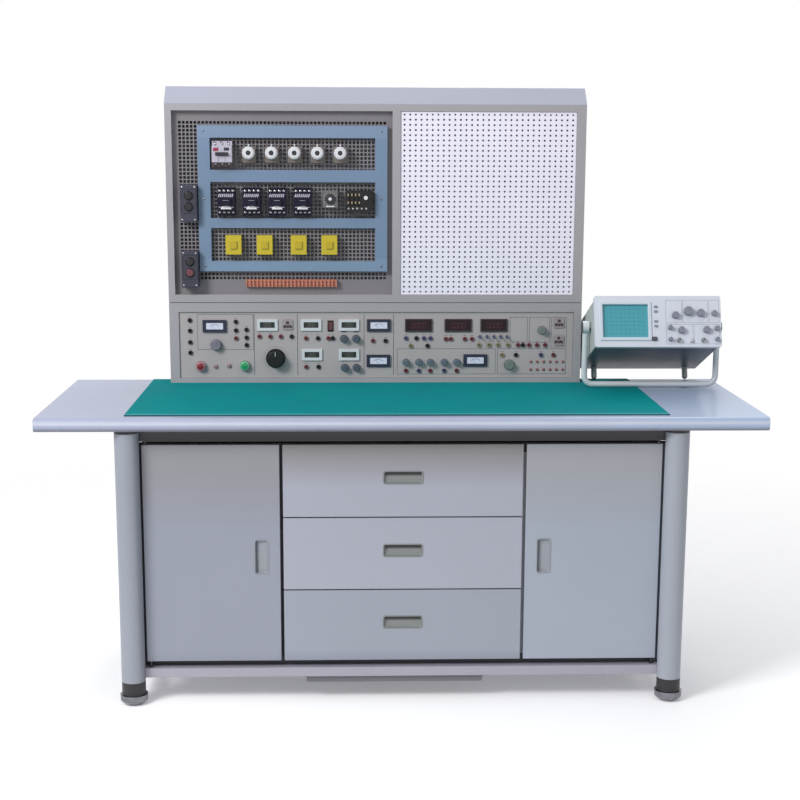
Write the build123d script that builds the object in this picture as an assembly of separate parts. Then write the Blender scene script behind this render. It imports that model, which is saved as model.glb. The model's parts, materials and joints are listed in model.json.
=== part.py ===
from build123d import *
import os
from math import asin, atan2, cos, degrees, hypot, radians, sin, tan

os.makedirs("parts", exist_ok=True)

# Driving sizes, in millimetres. Places are x from the worktop's middle, y back from the
# worktop's front edge and z up from the floor, unless a comment says otherwise.

# Fits
fit_gap = 0.05
running_gap = 0.3
panel_gap = 0.5

# Worktop and mat
worktop_width = 1800
worktop_depth = 650
worktop_thickness = 34
worktop_height = 740
worktop_nose = 12
mat_left_inset = 214
mat_right_inset = 240
mat_front = 36
mat_rear_inset = 2
mat_thickness = 2
mat_corner = 4

# Legs and feet
leg_side_inset = 218
leg_front = 45
leg_rear_inset = 30
leg_diameter = 60
leg_wall = 3
leg_cap_height = 8
spigot_length = 22
collar_height = 34
foot_height = 26
foot_diameter = 70
foot_bevel = 11
stem_diameter = 12
stem_length = 26

# Base frame
rail_wall = 2
top_rail_height = 32
top_rail_depth = 36
top_rail_front = 52
low_rail_bottom = 65
low_rail_height = 24
low_rail_depth = 30
low_rail_front = 50
stiffener_length = 450
stiffener_x = -20
stiffener_height = 18
stiffener_depth = 30
stiffener_wall = 3
stiffener_inset = 8

# Cabinet, doors and drawers
board = 16
back_board = 8
cabinet_leg_gap = 31.5
cabinet_front = 78
cabinet_lip_width = 12
cabinet_lip_depth = 18
cabinet_rear_inset = 10
divider_x = 304
front_plane = 55
front_thickness = 18
front_bottom_gap = 17
front_top_gap = 9
front_edge_radius = 2
door_leg_gap = 34
door_inner = 308
drawer_half_width = 300
drawer_gap = 3
drawer_count = 3
hinge_inset = 9
hinge_pin_diameter = 8
hinge_pin_in_door = 20
hinge_pin_in_rail = 8
door_pull_width = 34
door_pull_height = 88
door_pull_x = 355
door_pull_drop = 7.5
pull_depth = 11
pull_corner = 6
drawer_pull_width = 98
drawer_pull_height = 31
drawer_pull_rise = 8
tray_half_width = 280
tray_rear_gap = 59
tray_top_gap = 40.3
tray_wall = 12
tray_floor = 6
tray_lift = 14
runner_height = 10
runner_reach = 30

# Console
console_width = 1144
console_x = -58
console_overlap = 73
console_depth = 180
console_height = 758
frame_depth = 18
sheet = 2
hood_height = 48
hood_slope = 50
hood_wall = 2.5
upper_jamb = 18
right_jamb = 26
mullion_left = 616
mullion_width = 22
lower_jamb_left = 26
lower_jamb_right = 22
base_member = 13
fascia_height = 184
split_height = 224
split_gap = 1.5
bay_rise = 21
top_jamb = 17
lip = 8
board_recess = 3
board_thickness = 3
fascia_recess = 4
fascia_thickness = 3
bracket_thickness = 5
bracket_width = 60
bracket_reach = 92
bracket_height = 68
bracket_places = (-360, 0, 360)
back_vent_count = 12
back_vent_pitch = 12
back_vent_length = 120
back_vent_width = 4

# Blue device frame in the left bay, from the bay's lower left corner, for the same height
device_frame_left = 69
device_frame_bottom = 64
device_frame_width = 515
device_frame_depth = 16
device_member = 33
device_windows = ((92, 90), (209, 97), (339, 85))

# Devices, from the bay's lower left corner, with heights for a bay of the planned height
bay_plan_height = 496
breaker_place = (137, 381)
breaker_size = (54, 30, 68)
breaker_nose = (54, 18, 44)
breaker_pole_pitch = 18
breaker_notch = (9, 8, 9)
breaker_lever_width = 34
breaker_bar_height = 5
breaker_lever_reach = 9
breaker_axle = 8
breaker_throw = 20
fuse_first = 208
fuse_pitch = 62
fuse_count = 5
fuse_z = 384
fuse_base = (38, 22, 44)
fuse_base_drop = 4
fuse_base_corner = 4
fuse_cap_diameter = 34
fuse_cap_length = 22
fuse_cap_bevel = 3
fuse_window_diameter = 13
fuse_window_depth = 6
contactor_first = 146
contactor_pitch = 69
contactor_count = 4
contactor_z = 254
contactor_base = (48, 30, 76)
contactor_step = (48, 16, 46)
contactor_nose = (24, 10, 18)
contactor_notch = (7, 8, 8)
contactor_notch_pitch = 12
contactor_notch_columns = 4
contactor_notch_inset = 7
timer_place = (428, 262)
timer_size = (41, 42, 46)
timer_dial_diameter = 28
timer_dial_depth = 6
overload_place = (506, 256)
overload_size = (71, 36, 57)
overload_knob = (525, 265)
overload_knob_diameter = 9
overload_knob_proud = 4
overload_slot = (6, 34, 5)
overload_slot_places = ((-24, 4), (-12, 4), (0, 4))
yellow_places = (163, 248, 341, 425)
yellow_z = 137
yellow_size = (43, 30, 52)
yellow_boss = (18, 4, 20)
strip_place = (320, 31)
strip_size = (250, 10, 20)
strip_ribs = 25
strip_rib = (2, 6, 20)
station_x = 44
station_size = (46, 38, 100)
station_corner = 4
station_places = (249, 71)
station_button_offsets = (21, -9)
station_button_diameter = 20
station_button_proud = 6
station_button_travel = 4
station_button_guide = 16
button_edge = 1.5

# Fascia items, from the fascia's lower left corner
meter_places = ((98, 145), (553, 147), (552, 48), (823, 49))
meter_size = (66, 34)
meter_window = (50, 21)
meter_proud = 5
meter_body_depth = 38
digital_places = ((244, 148), (365, 148), (470, 148), (367, 65), (470, 65))
digital_size = (57, 32)
digital_window = (43, 18)
display_places = ((664, 147), (774, 147), (874, 147))
display_size = (76, 36)
display_window = (70, 30)
digital_proud = 4
digital_body_depth = 32
window_recess = 2
window_rim = 1
window_unit_corner = 1.5
jack_places = (
    (30, 161), (30, 132), (30, 100), (30, 71),
    (157, 157), (157, 133), (157, 111), (186, 135), (186, 113), (186, 92),
    (222, 116), (252, 116), (281, 116), (311, 116),
    (351, 111), (384, 111), (351, 31), (385, 31), (413, 111), (425, 111),
    (537, 104), (572, 104), (629, 111), (658, 111), (679, 111), (697, 111),
    (642, 90), (689, 90), (740, 109), (754, 109), (793, 109), (813, 109),
    (833, 92), (861, 92), (886, 92), (914, 92),
    (942, 92), (956, 92), (973, 92), (995, 92), (1018, 92),
    (898, 64), (937, 64), (1007, 64), (1042, 64),
    (629, 20), (665, 20), (697, 20), (736, 20), (771, 20),
)
jack_diameter = 11
jack_proud = 4
jack_bore = 4
jack_barrel = 8
jack_length = 16
jack_end = 2
jack_bevel = 1
outlet_places = ((300, 149), (1056, 154), (1056, 106))
outlet_size = (28, 28)
outlet_proud = 3
outlet_depth = 20
outlet_slot = (2, 7)
outlet_slot_places = ((-5, -4), (5, -4), (0, 5))
outlet_rim = 3
outlet_floor = 4
lamp_places = ((99, 33), (136, 35))
lamp_diameter = 12
lamp_proud = 6
lamp_barrel = 9
led_first = 979
led_pitch = 18
led_count = 6
led_rows = (45, 23)
led_diameter = 8
led_barrel = 6
led_proud = 3
small_knob_places = ((629, 44), (665, 44), (697, 44), (736, 44), (771, 44), (1008, 134), (918, 37))
small_knob_diameters = (20, 20, 20, 20, 20, 24, 30)
supply_knob_places = ((456, 110), (490, 110), (458, 29), (491, 29))
supply_knob_diameter = 22
range_knob_place = (102, 93)
range_knob_diameter = 32
knob_depth = 16
knob_shaft = 6
knob_shaft_length = 14
knob_skirt = 4
knob_standoff = 0.6
knob_edge = 1
knob_grip_share = 0.8
knob_rib_share = (0.09, 0.36)
knob_rib_proud = 1
variac_place = (266, 55)
variac_diameter = 54
variac_depth = 28
variac_shaft = 10
variac_shaft_length = 60
toggle_places = ((835, 116), (855, 116), (874, 116), (893, 116), (911, 116))
toggle_bush = 8
toggle_bush_proud = 5
toggle_lever = 3.5
toggle_lever_length = 14
toggle_lean = 12
toggle_tip = 4.5
toggle_body_depth = 14
red_button_place = (58, 34)
green_button_place = (180, 35)
push_button_diameter = 26
push_button_proud = 9
push_button_travel = 5
push_button_stem = 12
push_button_stem_length = 24
push_button_edge = 2.5
rocker_place = (419, 145)
rocker_size = (14, 28)
rocker_depth = 10
rocker_proud = 4
rocker_rim = 1
rocker_sweep_gap = 1
rocker_edge = 2

# Autotransformer behind the variac knob, and the mains inlet in the back
toroid_outer = 104
toroid_inner = 44
toroid_length = 52
toroid_gap = 14
toroid_bush = 22
toroid_plate = 90
toroid_plate_thickness = 3
inlet_place = (120, 60)
inlet_size = (50, 28)
inlet_depth = 24
inlet_wall = 4
inlet_flange = 8
inlet_flange_thickness = 2
inlet_pin = (2, 10, 5)
inlet_pin_pitch = 14

# Oscilloscope, in its own tilted frame: x across, y back from the front face, z up
scope_side_gap = 9
scope_front_offset = 200
scope_lift = 125
scope_width = 341
scope_height = 140
scope_depth = 300
scope_bezel_depth = 16
scope_wall = 2.5
scope_case_inset = 3
scope_corner = 6
scope_foot_at = 285
scope_foot_x = 130
scope_foot_radius = 8
scope_foot_stem = 22
screen_width = 122
screen_height = 90
screen_left = 22
screen_bottom = 26
screen_recess = 5
tube_length = 200
tube_neck = 40
tube_taper = 120
tube_bulb = (110, 80)
scope_knob_places = (
    (217, 86), (285, 92), (322, 91),
    (202, 52), (232, 45), (300, 46), (328, 50), (202, 20), (328, 20),
)
scope_knob_diameters = (18, 20, 15, 12, 18, 18, 13, 11, 11)
scope_time_knob = (252, 97)
scope_time_knob_diameter = 24
scope_knob_depth = 12
scope_knob_bevel = 1
scope_rib = 1.5
scope_button_places = ((165, 110), (165, 97), (165, 70), (165, 57))
scope_button_size = (9, 5)
scope_button_proud = 3
scope_power_place = (160, 22)
scope_power_size = (12, 10)
scope_power_travel = 3
scope_power_proud = 2
handle_pivot_back = 90
handle_pivot_up = 75
handle_tube = 16
handle_side_gap = 3
handle_bend = 24
hub_diameter = 34
hub_bore = 16

# Sizes that follow from the ones above
console_front = worktop_depth - console_overlap
console_rear = console_front + console_depth
front_y = -console_rear / 2
worktop_bottom = worktop_height - worktop_thickness
mat_top = worktop_height + mat_thickness
mat_left = mat_left_inset - worktop_width / 2
mat_right = worktop_width / 2 - mat_right_inset
mat_rear = worktop_depth - mat_rear_inset
leg_x = worktop_width / 2 - leg_side_inset
leg_rear = worktop_depth - leg_rear_inset
leg_radius = leg_diameter / 2
leg_bore = leg_diameter - 2 * leg_wall
collar_top = foot_height + collar_height
cap_bottom = worktop_bottom - leg_cap_height
top_rail_bottom = worktop_bottom - top_rail_height
low_rail_top = low_rail_bottom + low_rail_height
cabinet_half_width = leg_x - cabinet_leg_gap
cabinet_rear = worktop_depth - cabinet_rear_inset
front_bottom = low_rail_top + front_bottom_gap
front_top = top_rail_bottom - front_top_gap
front_height = front_top - front_bottom
door_outer = leg_x - door_leg_gap
door_pull_z = front_bottom + front_height / 2 - door_pull_drop
drawer_height = (front_height - (drawer_count - 1) * drawer_gap) / drawer_count
drawer_pitch = drawer_height + drawer_gap
tray_height = drawer_height - tray_lift - tray_top_gap
tray_length = cabinet_rear - back_board - tray_rear_gap - front_plane - front_thickness
hinge_x = door_outer - hinge_inset
hinge_y = front_plane + front_thickness / 2
cabinet_floor = low_rail_top
console_left = console_x - console_width / 2
console_right = console_x + console_width / 2
console_bottom = mat_top
console_top = console_bottom + console_height
split_z = console_bottom + split_height
bay_left = console_left + upper_jamb
bay_bottom = split_z + bay_rise
bay_top = console_top - top_jamb
bay_share = (bay_top - bay_bottom) / bay_plan_height
mullion_x = console_left + mullion_left
right_bay_left = mullion_x + mullion_width
right_bay_right = console_right - right_jamb
fascia_left = console_left + lower_jamb_left
fascia_right = console_right - lower_jamb_right
fascia_bottom = console_bottom + base_member
fascia_top = fascia_bottom + fascia_height
frame_back = console_front + frame_depth
plate_front = frame_back
fascia_front = console_front + fascia_recess
fascia_back = fascia_front + fascia_thickness
window_top = device_windows[-1][0] + device_windows[-1][1]
device_frame_height = (window_top + device_member - device_frame_bottom) * bay_share
scope_x = console_right + scope_side_gap + scope_width / 2
scope_front = console_front - scope_front_offset
foot_reach = hypot(scope_foot_at, scope_foot_stem)
scope_tilt = asin((scope_lift - scope_foot_radius) / foot_reach) - atan2(scope_foot_stem, scope_foot_at)
scope_base_z = mat_top + scope_lift
scope_place = Pos(scope_x, front_y + scope_front, scope_base_z) * Rot(-degrees(scope_tilt), 0, 0)
pivot_height = scope_base_z - handle_pivot_back * sin(scope_tilt) + handle_pivot_up * cos(scope_tilt)
handle_drop = pivot_height - mat_top - running_gap - handle_tube / 2


# Shapes used everywhere

def slab(x0, x1, y0, y1, z0, z1):
    """A box between two planes each way."""
    middle = Pos((x0 + x1) / 2, front_y + (y0 + y1) / 2, (z0 + z1) / 2)
    return middle * Box(x1 - x0, y1 - y0, z1 - z0)


def block(x, z, width, height, y0, y1):
    """A box centred on x and z."""
    return slab(x - width / 2, x + width / 2, y0, y1, z - height / 2, z + height / 2)


def post(x, y, z0, z1, diameter):
    """A round bar standing on z0."""
    return Pos(x, front_y + y, (z0 + z1) / 2) * Cylinder(diameter / 2, z1 - z0)


def plug(x, z, y0, y1, diameter):
    """A round bar that runs front to back."""
    return Pos(x, front_y + (y0 + y1) / 2, z) * Rot(90, 0, 0) * Cylinder(diameter / 2, y1 - y0)


def soften(shape, axis, radius):
    """The shape with its edges along one axis rounded."""
    return fillet(shape.edges().filter_by(axis), radius)


def in_bay(place):
    """A place in the left bay, as x and z of the whole bench."""
    return bay_left + place[0], bay_bottom + place[1] * bay_share


def on_fascia(place):
    """A place on the control fascia, as x and z of the whole bench."""
    return fascia_left + place[0], fascia_bottom + place[1]


def leg_places():
    """The four legs' x and y."""
    return [(side * leg_x, y) for y in (leg_front, leg_rear) for side in (-1, 1)]


def save(name, *solids):
    """Write one sub-part, of one solid or of several separate ones."""
    pieces = [piece for shape in solids for piece in shape.solids()]
    shape = pieces[0] if len(pieces) == 1 else Compound(pieces)
    export_step(shape, "parts/" + name + ".step")


# Worktop and mat

def make_worktop():
    top = slab(-worktop_width / 2, worktop_width / 2, 0, worktop_depth, worktop_bottom, worktop_height)
    front_edges = top.faces().sort_by(Axis.Y)[0].edges().filter_by(Axis.X)
    return fillet(front_edges, worktop_nose)


def make_mat():
    mat = slab(mat_left, mat_right, mat_front, mat_rear, worktop_height, mat_top)
    return soften(mat, Axis.Z, mat_corner)


# Legs, their end fittings and the levelling feet

def make_column(x, y):
    return post(x, y, collar_top, cap_bottom, leg_diameter) - post(x, y, collar_top, cap_bottom, leg_bore)


def make_top_cap(x, y):
    spigot = post(x, y, cap_bottom - spigot_length, cap_bottom, leg_bore - 2 * fit_gap)
    return post(x, y, cap_bottom, worktop_bottom, leg_diameter) + spigot


def make_collar(x, y):
    spigot = post(x, y, collar_top, collar_top + spigot_length, leg_bore - 2 * fit_gap)
    collar = post(x, y, foot_height, collar_top, leg_diameter) + spigot
    bore_top = foot_height + stem_length + running_gap
    return collar - post(x, y, foot_height, bore_top, stem_diameter + 2 * fit_gap)


def make_foot(x, y):
    disc = post(x, y, 0, foot_height, foot_diameter)
    disc = chamfer(disc.edges().sort_by(Axis.Z)[0], foot_bevel)
    return disc + post(x, y, foot_height, foot_height + stem_length, stem_diameter)


# Base frame: two rings of rectangular tube, welded to the legs, and the stiffener below

def rail_ring(bottom, height, depth, front, inset):
    """One ring of four rails, each drawn in by the inset."""
    low = bottom + inset
    high = bottom + height - inset
    rear = leg_rear + leg_radius
    across = (-leg_x, leg_x)
    front_rail = slab(*across, front + inset, front + depth - inset, low, high)
    rear_rail = slab(*across, rear - depth + inset, rear - inset, low, high)
    half = depth / 2 - inset
    sides = [
        slab(side * leg_x - half, side * leg_x + half, leg_front, leg_rear, low, high)
        for side in (-1, 1)
    ]
    return front_rail + rear_rail + sides[0] + sides[1]


def make_ring(bottom, height, depth, front):
    ring = rail_ring(bottom, height, depth, front, 0) - rail_ring(bottom, height, depth, front, rail_wall)
    for x, y in leg_places():
        ring -= post(x, y, bottom - 1, bottom + height + 1, leg_diameter + 2 * fit_gap)
    return ring


def pin_holes(bottom, top):
    """Holes through a rail for the door pins."""
    hole = hinge_pin_diameter + 2 * fit_gap
    return [post(side * hinge_x, hinge_y, bottom, top, hole) for side in (-1, 1)]


def make_base_frame():
    upper = make_ring(top_rail_bottom, top_rail_height, top_rail_depth, top_rail_front)
    lower = make_ring(low_rail_bottom, low_rail_height, low_rail_depth, low_rail_front)
    for hole in pin_holes(top_rail_bottom - 1, top_rail_bottom + hinge_pin_in_rail):
        upper -= hole
    for hole in pin_holes(low_rail_top - hinge_pin_in_rail, low_rail_top + 1):
        lower -= hole
    return upper, lower


def make_stiffener():
    left = stiffener_x - stiffener_length / 2
    right = stiffener_x + stiffener_length / 2
    front = low_rail_front + stiffener_inset
    rear = low_rail_front + stiffener_depth
    bottom = low_rail_bottom - stiffener_height
    outer = slab(left, right, front, rear, bottom, low_rail_bottom)
    lower_corners = outer.edges().filter_by(Axis.Y).sort_by(Axis.Z)[:2]
    outer = fillet(lower_corners, stiffener_height / 3)
    inner = slab(
        left + stiffener_wall, right - stiffener_wall, front + stiffener_wall, rear,
        bottom + stiffener_wall, low_rail_bottom - stiffener_wall,
    )
    return outer - inner


# Cabinet

def make_carcass():
    back_front = cabinet_rear - back_board
    inner = cabinet_half_width - board
    floor_top = cabinet_floor + board
    lid_bottom = front_top - board
    side_boards = [
        slab(*sorted((side * inner, side * cabinet_half_width)), cabinet_front, cabinet_rear,
             cabinet_floor, front_top)
        for side in (-1, 1)
    ]
    lip_edge = cabinet_half_width + cabinet_lip_width
    lips = [
        slab(*sorted((side * cabinet_half_width, side * lip_edge)),
             cabinet_front, cabinet_front + cabinet_lip_depth, cabinet_floor, front_top)
        for side in (-1, 1)
    ]
    dividers = [
        slab(side * divider_x - board / 2, side * divider_x + board / 2, cabinet_front, back_front,
             floor_top, lid_bottom)
        for side in (-1, 1)
    ]
    floor = slab(-inner, inner, cabinet_front, cabinet_rear, cabinet_floor, floor_top)
    lid = slab(-inner, inner, cabinet_front, cabinet_rear, lid_bottom, front_top)
    back = slab(-inner, inner, back_front, cabinet_rear, floor_top, lid_bottom)
    return side_boards + lips + dividers + [floor, lid, back]


def pull_pocket(x, z, width, height):
    """The pocket that a flush pull makes in a front."""
    pocket = block(x, z, width, height, front_plane - 1, front_plane + pull_depth)
    pocket = soften(pocket, Axis.Y, pull_corner)
    back_edges = pocket.faces().sort_by(Axis.Y)[-1].edges()
    return fillet(back_edges, pull_corner - 1)


def make_front(x0, x1, z0, z1):
    front = slab(x0, x1, front_plane, front_plane + front_thickness, z0, z1)
    front = soften(front, Axis.Y, front_edge_radius)
    return fillet(front.faces().sort_by(Axis.Y)[0].edges(), front_edge_radius - 0.5)


def make_door(side):
    edges = sorted((side * door_inner, side * door_outer))
    door = make_front(*edges, front_bottom, front_top)
    door -= pull_pocket(side * door_pull_x, door_pull_z, door_pull_width, door_pull_height)
    hole = hinge_pin_diameter + 4 * fit_gap
    depth = hinge_pin_in_door + running_gap
    door -= post(side * hinge_x, hinge_y, front_bottom, front_bottom + depth, hole)
    return door - post(side * hinge_x, hinge_y, front_top - depth, front_top, hole)


def make_hinge_pins():
    pins = []
    for side in (-1, 1):
        low = low_rail_top - hinge_pin_in_rail
        high = top_rail_bottom + hinge_pin_in_rail
        x = side * hinge_x
        pins.append(post(x, hinge_y, low, front_bottom + hinge_pin_in_door, hinge_pin_diameter))
        pins.append(post(x, hinge_y, front_top - hinge_pin_in_door, high, hinge_pin_diameter))
    return pins


def drawer_bottom(index):
    """The lower edge of a drawer's front, counted from the lowest drawer."""
    return front_bottom + index * drawer_pitch


def make_drawer(index):
    z0 = drawer_bottom(index)
    front = make_front(-drawer_half_width, drawer_half_width, z0, z0 + drawer_height)
    pull_z = z0 + drawer_height / 2 + drawer_pull_rise
    front -= pull_pocket(0, pull_z, drawer_pull_width, drawer_pull_height)
    y0 = front_plane + front_thickness
    base = z0 + tray_lift
    tray = slab(-tray_half_width, tray_half_width, y0, y0 + tray_length, base, base + tray_height)
    tray -= slab(
        -tray_half_width + tray_wall, tray_half_width - tray_wall,
        y0 + tray_wall, y0 + tray_length - tray_wall,
        base + tray_floor, base + tray_height,
    )
    return front, tray


def make_runners():
    wall = divider_x - board / 2
    y0 = cabinet_front
    y1 = y0 + tray_length
    runners = []
    for index in range(drawer_count):
        top = drawer_bottom(index) + tray_lift - running_gap
        for side in (-1, 1):
            edges = sorted((side * (wall - runner_reach), side * wall))
            runners.append(slab(*edges, y0, y1, top - runner_height, top))
    return runners


# Console case

def make_shell():
    """The case's separate sheets: two sides, the floor, the shelf and the top."""
    rear = console_rear - sheet
    sides = [
        slab(left, left + sheet, frame_back, rear, console_bottom, console_top)
        for left in (console_left, console_right - sheet)
    ]
    floors = [
        slab(console_left + sheet, console_right - sheet, frame_back, rear, low, low + sheet)
        for low in (console_bottom, split_z - sheet, console_top - sheet)
    ]
    return sides + floors


def make_back():
    back = slab(console_left, console_right, console_rear - sheet, console_rear, console_bottom, console_top)
    inlet_x, inlet_z = inlet_centre()
    back -= block(inlet_x, inlet_z, inlet_size[0] + 2 * fit_gap, inlet_size[1] + 2 * fit_gap,
                  console_rear - sheet, console_rear)
    first = console_x - (back_vent_count - 1) * back_vent_pitch / 2
    for index in range(back_vent_count):
        x = first + index * back_vent_pitch
        back -= block(x, (fascia_bottom + fascia_top) / 2, back_vent_width, back_vent_length,
                      console_rear - sheet, console_rear)
    return back


def hood_profile(inset):
    """The hood's side outline, drawn in by the inset."""
    front = front_y + console_front + inset
    rear = front_y + console_rear - inset
    top = console_top + hood_height - inset
    shoulder = front_y + console_front + hood_slope + inset / 2
    lip_top = console_top + hood_wall
    points = [(front, console_top), (front, lip_top), (shoulder, top), (rear, top), (rear, console_top)]
    return Polyline(*points, close=True)


def hood_solid(inset):
    outline = Plane.YZ * make_face(hood_profile(inset))
    length = console_width - 2 * inset
    return Pos(console_left + inset, 0, 0) * extrude(outline, length, dir=(1, 0, 0))


def make_hood():
    hood = hood_solid(0)
    top_edge = hood.edges().filter_by(Axis.X).group_by(Axis.Z)[-1]
    hood = fillet(top_edge, hood_wall * 2)
    return hood - hood_solid(hood_wall)


def make_upper_frame():
    frame = slab(console_left, console_right, console_front, frame_back, split_z, console_top)
    frame -= slab(bay_left, mullion_x, console_front, frame_back, bay_bottom, bay_top)
    rebate = console_front + board_recess + board_thickness
    frame -= slab(right_bay_left, right_bay_right, console_front, rebate, bay_bottom, bay_top)
    return frame - slab(
        right_bay_left + lip, right_bay_right - lip, console_front, frame_back,
        bay_bottom + lip, bay_top - lip,
    )


def make_lower_frame():
    top = split_z - split_gap
    frame = slab(console_left, console_right, console_front, frame_back, console_bottom, top)
    frame -= slab(fascia_left, fascia_right, console_front, fascia_back, fascia_bottom, fascia_top)
    return frame - slab(
        fascia_left + lip, fascia_right - lip, console_front, frame_back,
        fascia_bottom + lip, fascia_top - lip,
    )


def make_bracket(x):
    """An angle bracket with a gusset, between the worktop's rear edge and the console."""
    left = x - bracket_width / 2
    right = x + bracket_width / 2
    back = worktop_depth + bracket_reach
    low = mat_top - bracket_height
    upright = slab(left, right, worktop_depth, worktop_depth + bracket_thickness, low, mat_top)
    arm = slab(left, right, worktop_depth, back, mat_top - bracket_thickness, mat_top)
    web = Plane.YZ * make_face(Polyline(
        (front_y + worktop_depth + bracket_thickness, mat_top - bracket_thickness),
        (front_y + back, mat_top - bracket_thickness),
        (front_y + worktop_depth + bracket_thickness, low),
        close=True,
    ))
    gusset = Pos(x - bracket_thickness / 2, 0, 0) * extrude(web, bracket_thickness, dir=(1, 0, 0))
    return upright + arm + gusset


# Bay panels and the blue frame

def make_mesh_panel():
    return slab(bay_left - lip, mullion_x + lip, plate_front, plate_front + sheet,
                bay_bottom - lip, bay_top + lip)


def make_perforated_board():
    y0 = console_front + board_recess
    return slab(
        right_bay_left + panel_gap, right_bay_right - panel_gap, y0, y0 + board_thickness,
        bay_bottom + panel_gap, bay_top - panel_gap,
    )


def make_device_frame():
    left, bottom = in_bay((device_frame_left, device_frame_bottom))
    right = left + device_frame_width
    y0 = plate_front - device_frame_depth
    frame = slab(left, right, y0, plate_front, bottom, bottom + device_frame_height)
    for rise, height in device_windows:
        low = bay_bottom + rise * bay_share
        high = low + height * bay_share
        frame -= slab(left + device_member, right - device_member, y0, plate_front, low, high)
    return frame


# Devices in the blue frame

def stack(place, *sizes):
    """Boxes one before the other on the bay's plate, each width, depth and height."""
    x, z = in_bay(place)
    back = plate_front
    shape = None
    for width, depth, height in sizes:
        layer = block(x, z, width, height, back - depth, back)
        shape = layer if shape is None else shape + layer
        back -= depth
    return shape


def stack_front(*sizes):
    """How far forward such a stack reaches."""
    return plate_front - sum(size[1] for size in sizes)


def make_breaker():
    x, z = in_bay(breaker_place)
    body = stack(breaker_place, breaker_size, breaker_nose)
    step = stack_front(breaker_size)
    nose = stack_front(breaker_size, breaker_nose)
    for pole in (-1, 0, 1):
        for side in (-1, 1):
            notch_x = x + pole * breaker_pole_pitch
            notch_z = z + side * (breaker_size[2] - breaker_notch[1]) / 2
            body -= block(notch_x, notch_z, *breaker_notch[:2], step - 1, step + breaker_notch[2])
    axle_y = nose + breaker_axle / 2
    throw = radians(breaker_throw)
    mouth = breaker_bar_height / cos(throw) + breaker_axle * tan(throw) + 2 * running_gap
    width = breaker_lever_width + 2 * running_gap
    body -= block(x, z, width, mouth, nose, axle_y)
    seat = Pos(x, front_y + axle_y, z) * Rot(0, 90, 0)
    return body - seat * Cylinder(breaker_axle / 2 + fit_gap, width)


def make_breaker_lever():
    x, z = in_bay(breaker_place)
    nose = stack_front(breaker_size, breaker_nose)
    axle_y = nose + breaker_axle / 2
    place = Pos(x, front_y + axle_y, z) * Rot(0, 90, 0)
    axle = place * Cylinder(breaker_axle / 2, breaker_lever_width)
    return axle + block(x, z, breaker_lever_width, breaker_bar_height, nose - breaker_lever_reach, axle_y)


def make_fuse_holder(index):
    x = fuse_first + index * fuse_pitch
    base = stack((x, fuse_z - fuse_base_drop), fuse_base)
    base = soften(base, Axis.Y, fuse_base_corner)
    front = stack_front(fuse_base)
    bench_x, bench_z = in_bay((x, fuse_z))
    cap = plug(bench_x, bench_z, front - fuse_cap_length, front, fuse_cap_diameter)
    cap = chamfer(cap.edges().sort_by(Axis.Y)[0], fuse_cap_bevel)
    window_y = front - fuse_cap_length
    cap -= plug(bench_x, bench_z, window_y, window_y + fuse_window_depth, fuse_window_diameter)
    return base, cap


def make_contactor(index):
    place = (contactor_first + index * contactor_pitch, contactor_z)
    x, z = in_bay(place)
    body = stack(place, contactor_base, contactor_step, contactor_nose)
    step = stack_front(contactor_base)
    for column in range(contactor_notch_columns):
        for side in (-1, 1):
            notch_x = x + (column - (contactor_notch_columns - 1) / 2) * contactor_notch_pitch
            notch_z = z + side * (contactor_base[2] / 2 - contactor_notch_inset)
            body -= block(notch_x, notch_z, *contactor_notch[:2], step - 1, step + contactor_notch[2])
    return body


def make_timer_body():
    x, z = in_bay(timer_place)
    front = stack_front(timer_size)
    shaft = knob_shaft + 2 * fit_gap
    return stack(timer_place, timer_size) - plug(x, z, front, front + knob_shaft_length, shaft)


def make_overload_body():
    body = stack(overload_place, overload_size)
    x, z = in_bay(overload_place)
    front = stack_front(overload_size)
    for dx, dz in overload_slot_places:
        body -= block(x + dx, z + dz, *overload_slot[:2], front, front + overload_slot[2])
    knob_x, knob_z = in_bay(overload_knob)
    return body + plug(knob_x, knob_z, front - overload_knob_proud, front, overload_knob_diameter)


def make_yellow_relay(x):
    return stack((x, yellow_z), yellow_size, yellow_boss)


def make_terminal_strip():
    strip = stack(strip_place, strip_size)
    front = stack_front(strip_size)
    x, z = in_bay(strip_place)
    pitch = (strip_size[0] - strip_rib[0]) / (strip_ribs - 1)
    for index in range(strip_ribs):
        rib_x = x + (index - (strip_ribs - 1) / 2) * pitch
        strip += block(rib_x, z, strip_rib[0], strip_rib[2], front - strip_rib[1], front)
    return strip


# Push-button stations

def station_button_places(station):
    """The two buttons of one station, upper first."""
    x, z = in_bay((station_x, station_places[station]))
    return [(x, z + offset) for offset in station_button_offsets]


def make_station(station):
    x, z = in_bay((station_x, station_places[station]))
    housing = block(x, z, station_size[0], station_size[2], plate_front - station_size[1], plate_front)
    housing = soften(housing, Axis.Y, station_corner)
    housing = fillet(housing.faces().sort_by(Axis.Y)[0].edges(), station_corner / 2)
    front = plate_front - station_size[1]
    bore = station_button_diameter + 4 * fit_gap
    for button_x, button_z in station_button_places(station):
        housing -= plug(button_x, button_z, front, front + station_button_pocket(), bore)
    return housing


def station_button_pocket():
    """How deep a station button's bore is."""
    return station_button_travel + station_button_guide


def make_station_button(place):
    front = plate_front - station_size[1]
    y0 = front - station_button_proud
    y1 = front + station_button_pocket() - station_button_travel - running_gap
    button = plug(*place, y0, y1, station_button_diameter)
    return fillet(button.edges().sort_by(Axis.Y)[0], button_edge)


# Control fascia and what it carries

def knob_holes():
    """Every knob's place and shaft."""
    places = [(place, knob_shaft) for place in small_knob_places + supply_knob_places]
    return places + [(range_knob_place, knob_shaft), (variac_place, variac_shaft)]


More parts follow.
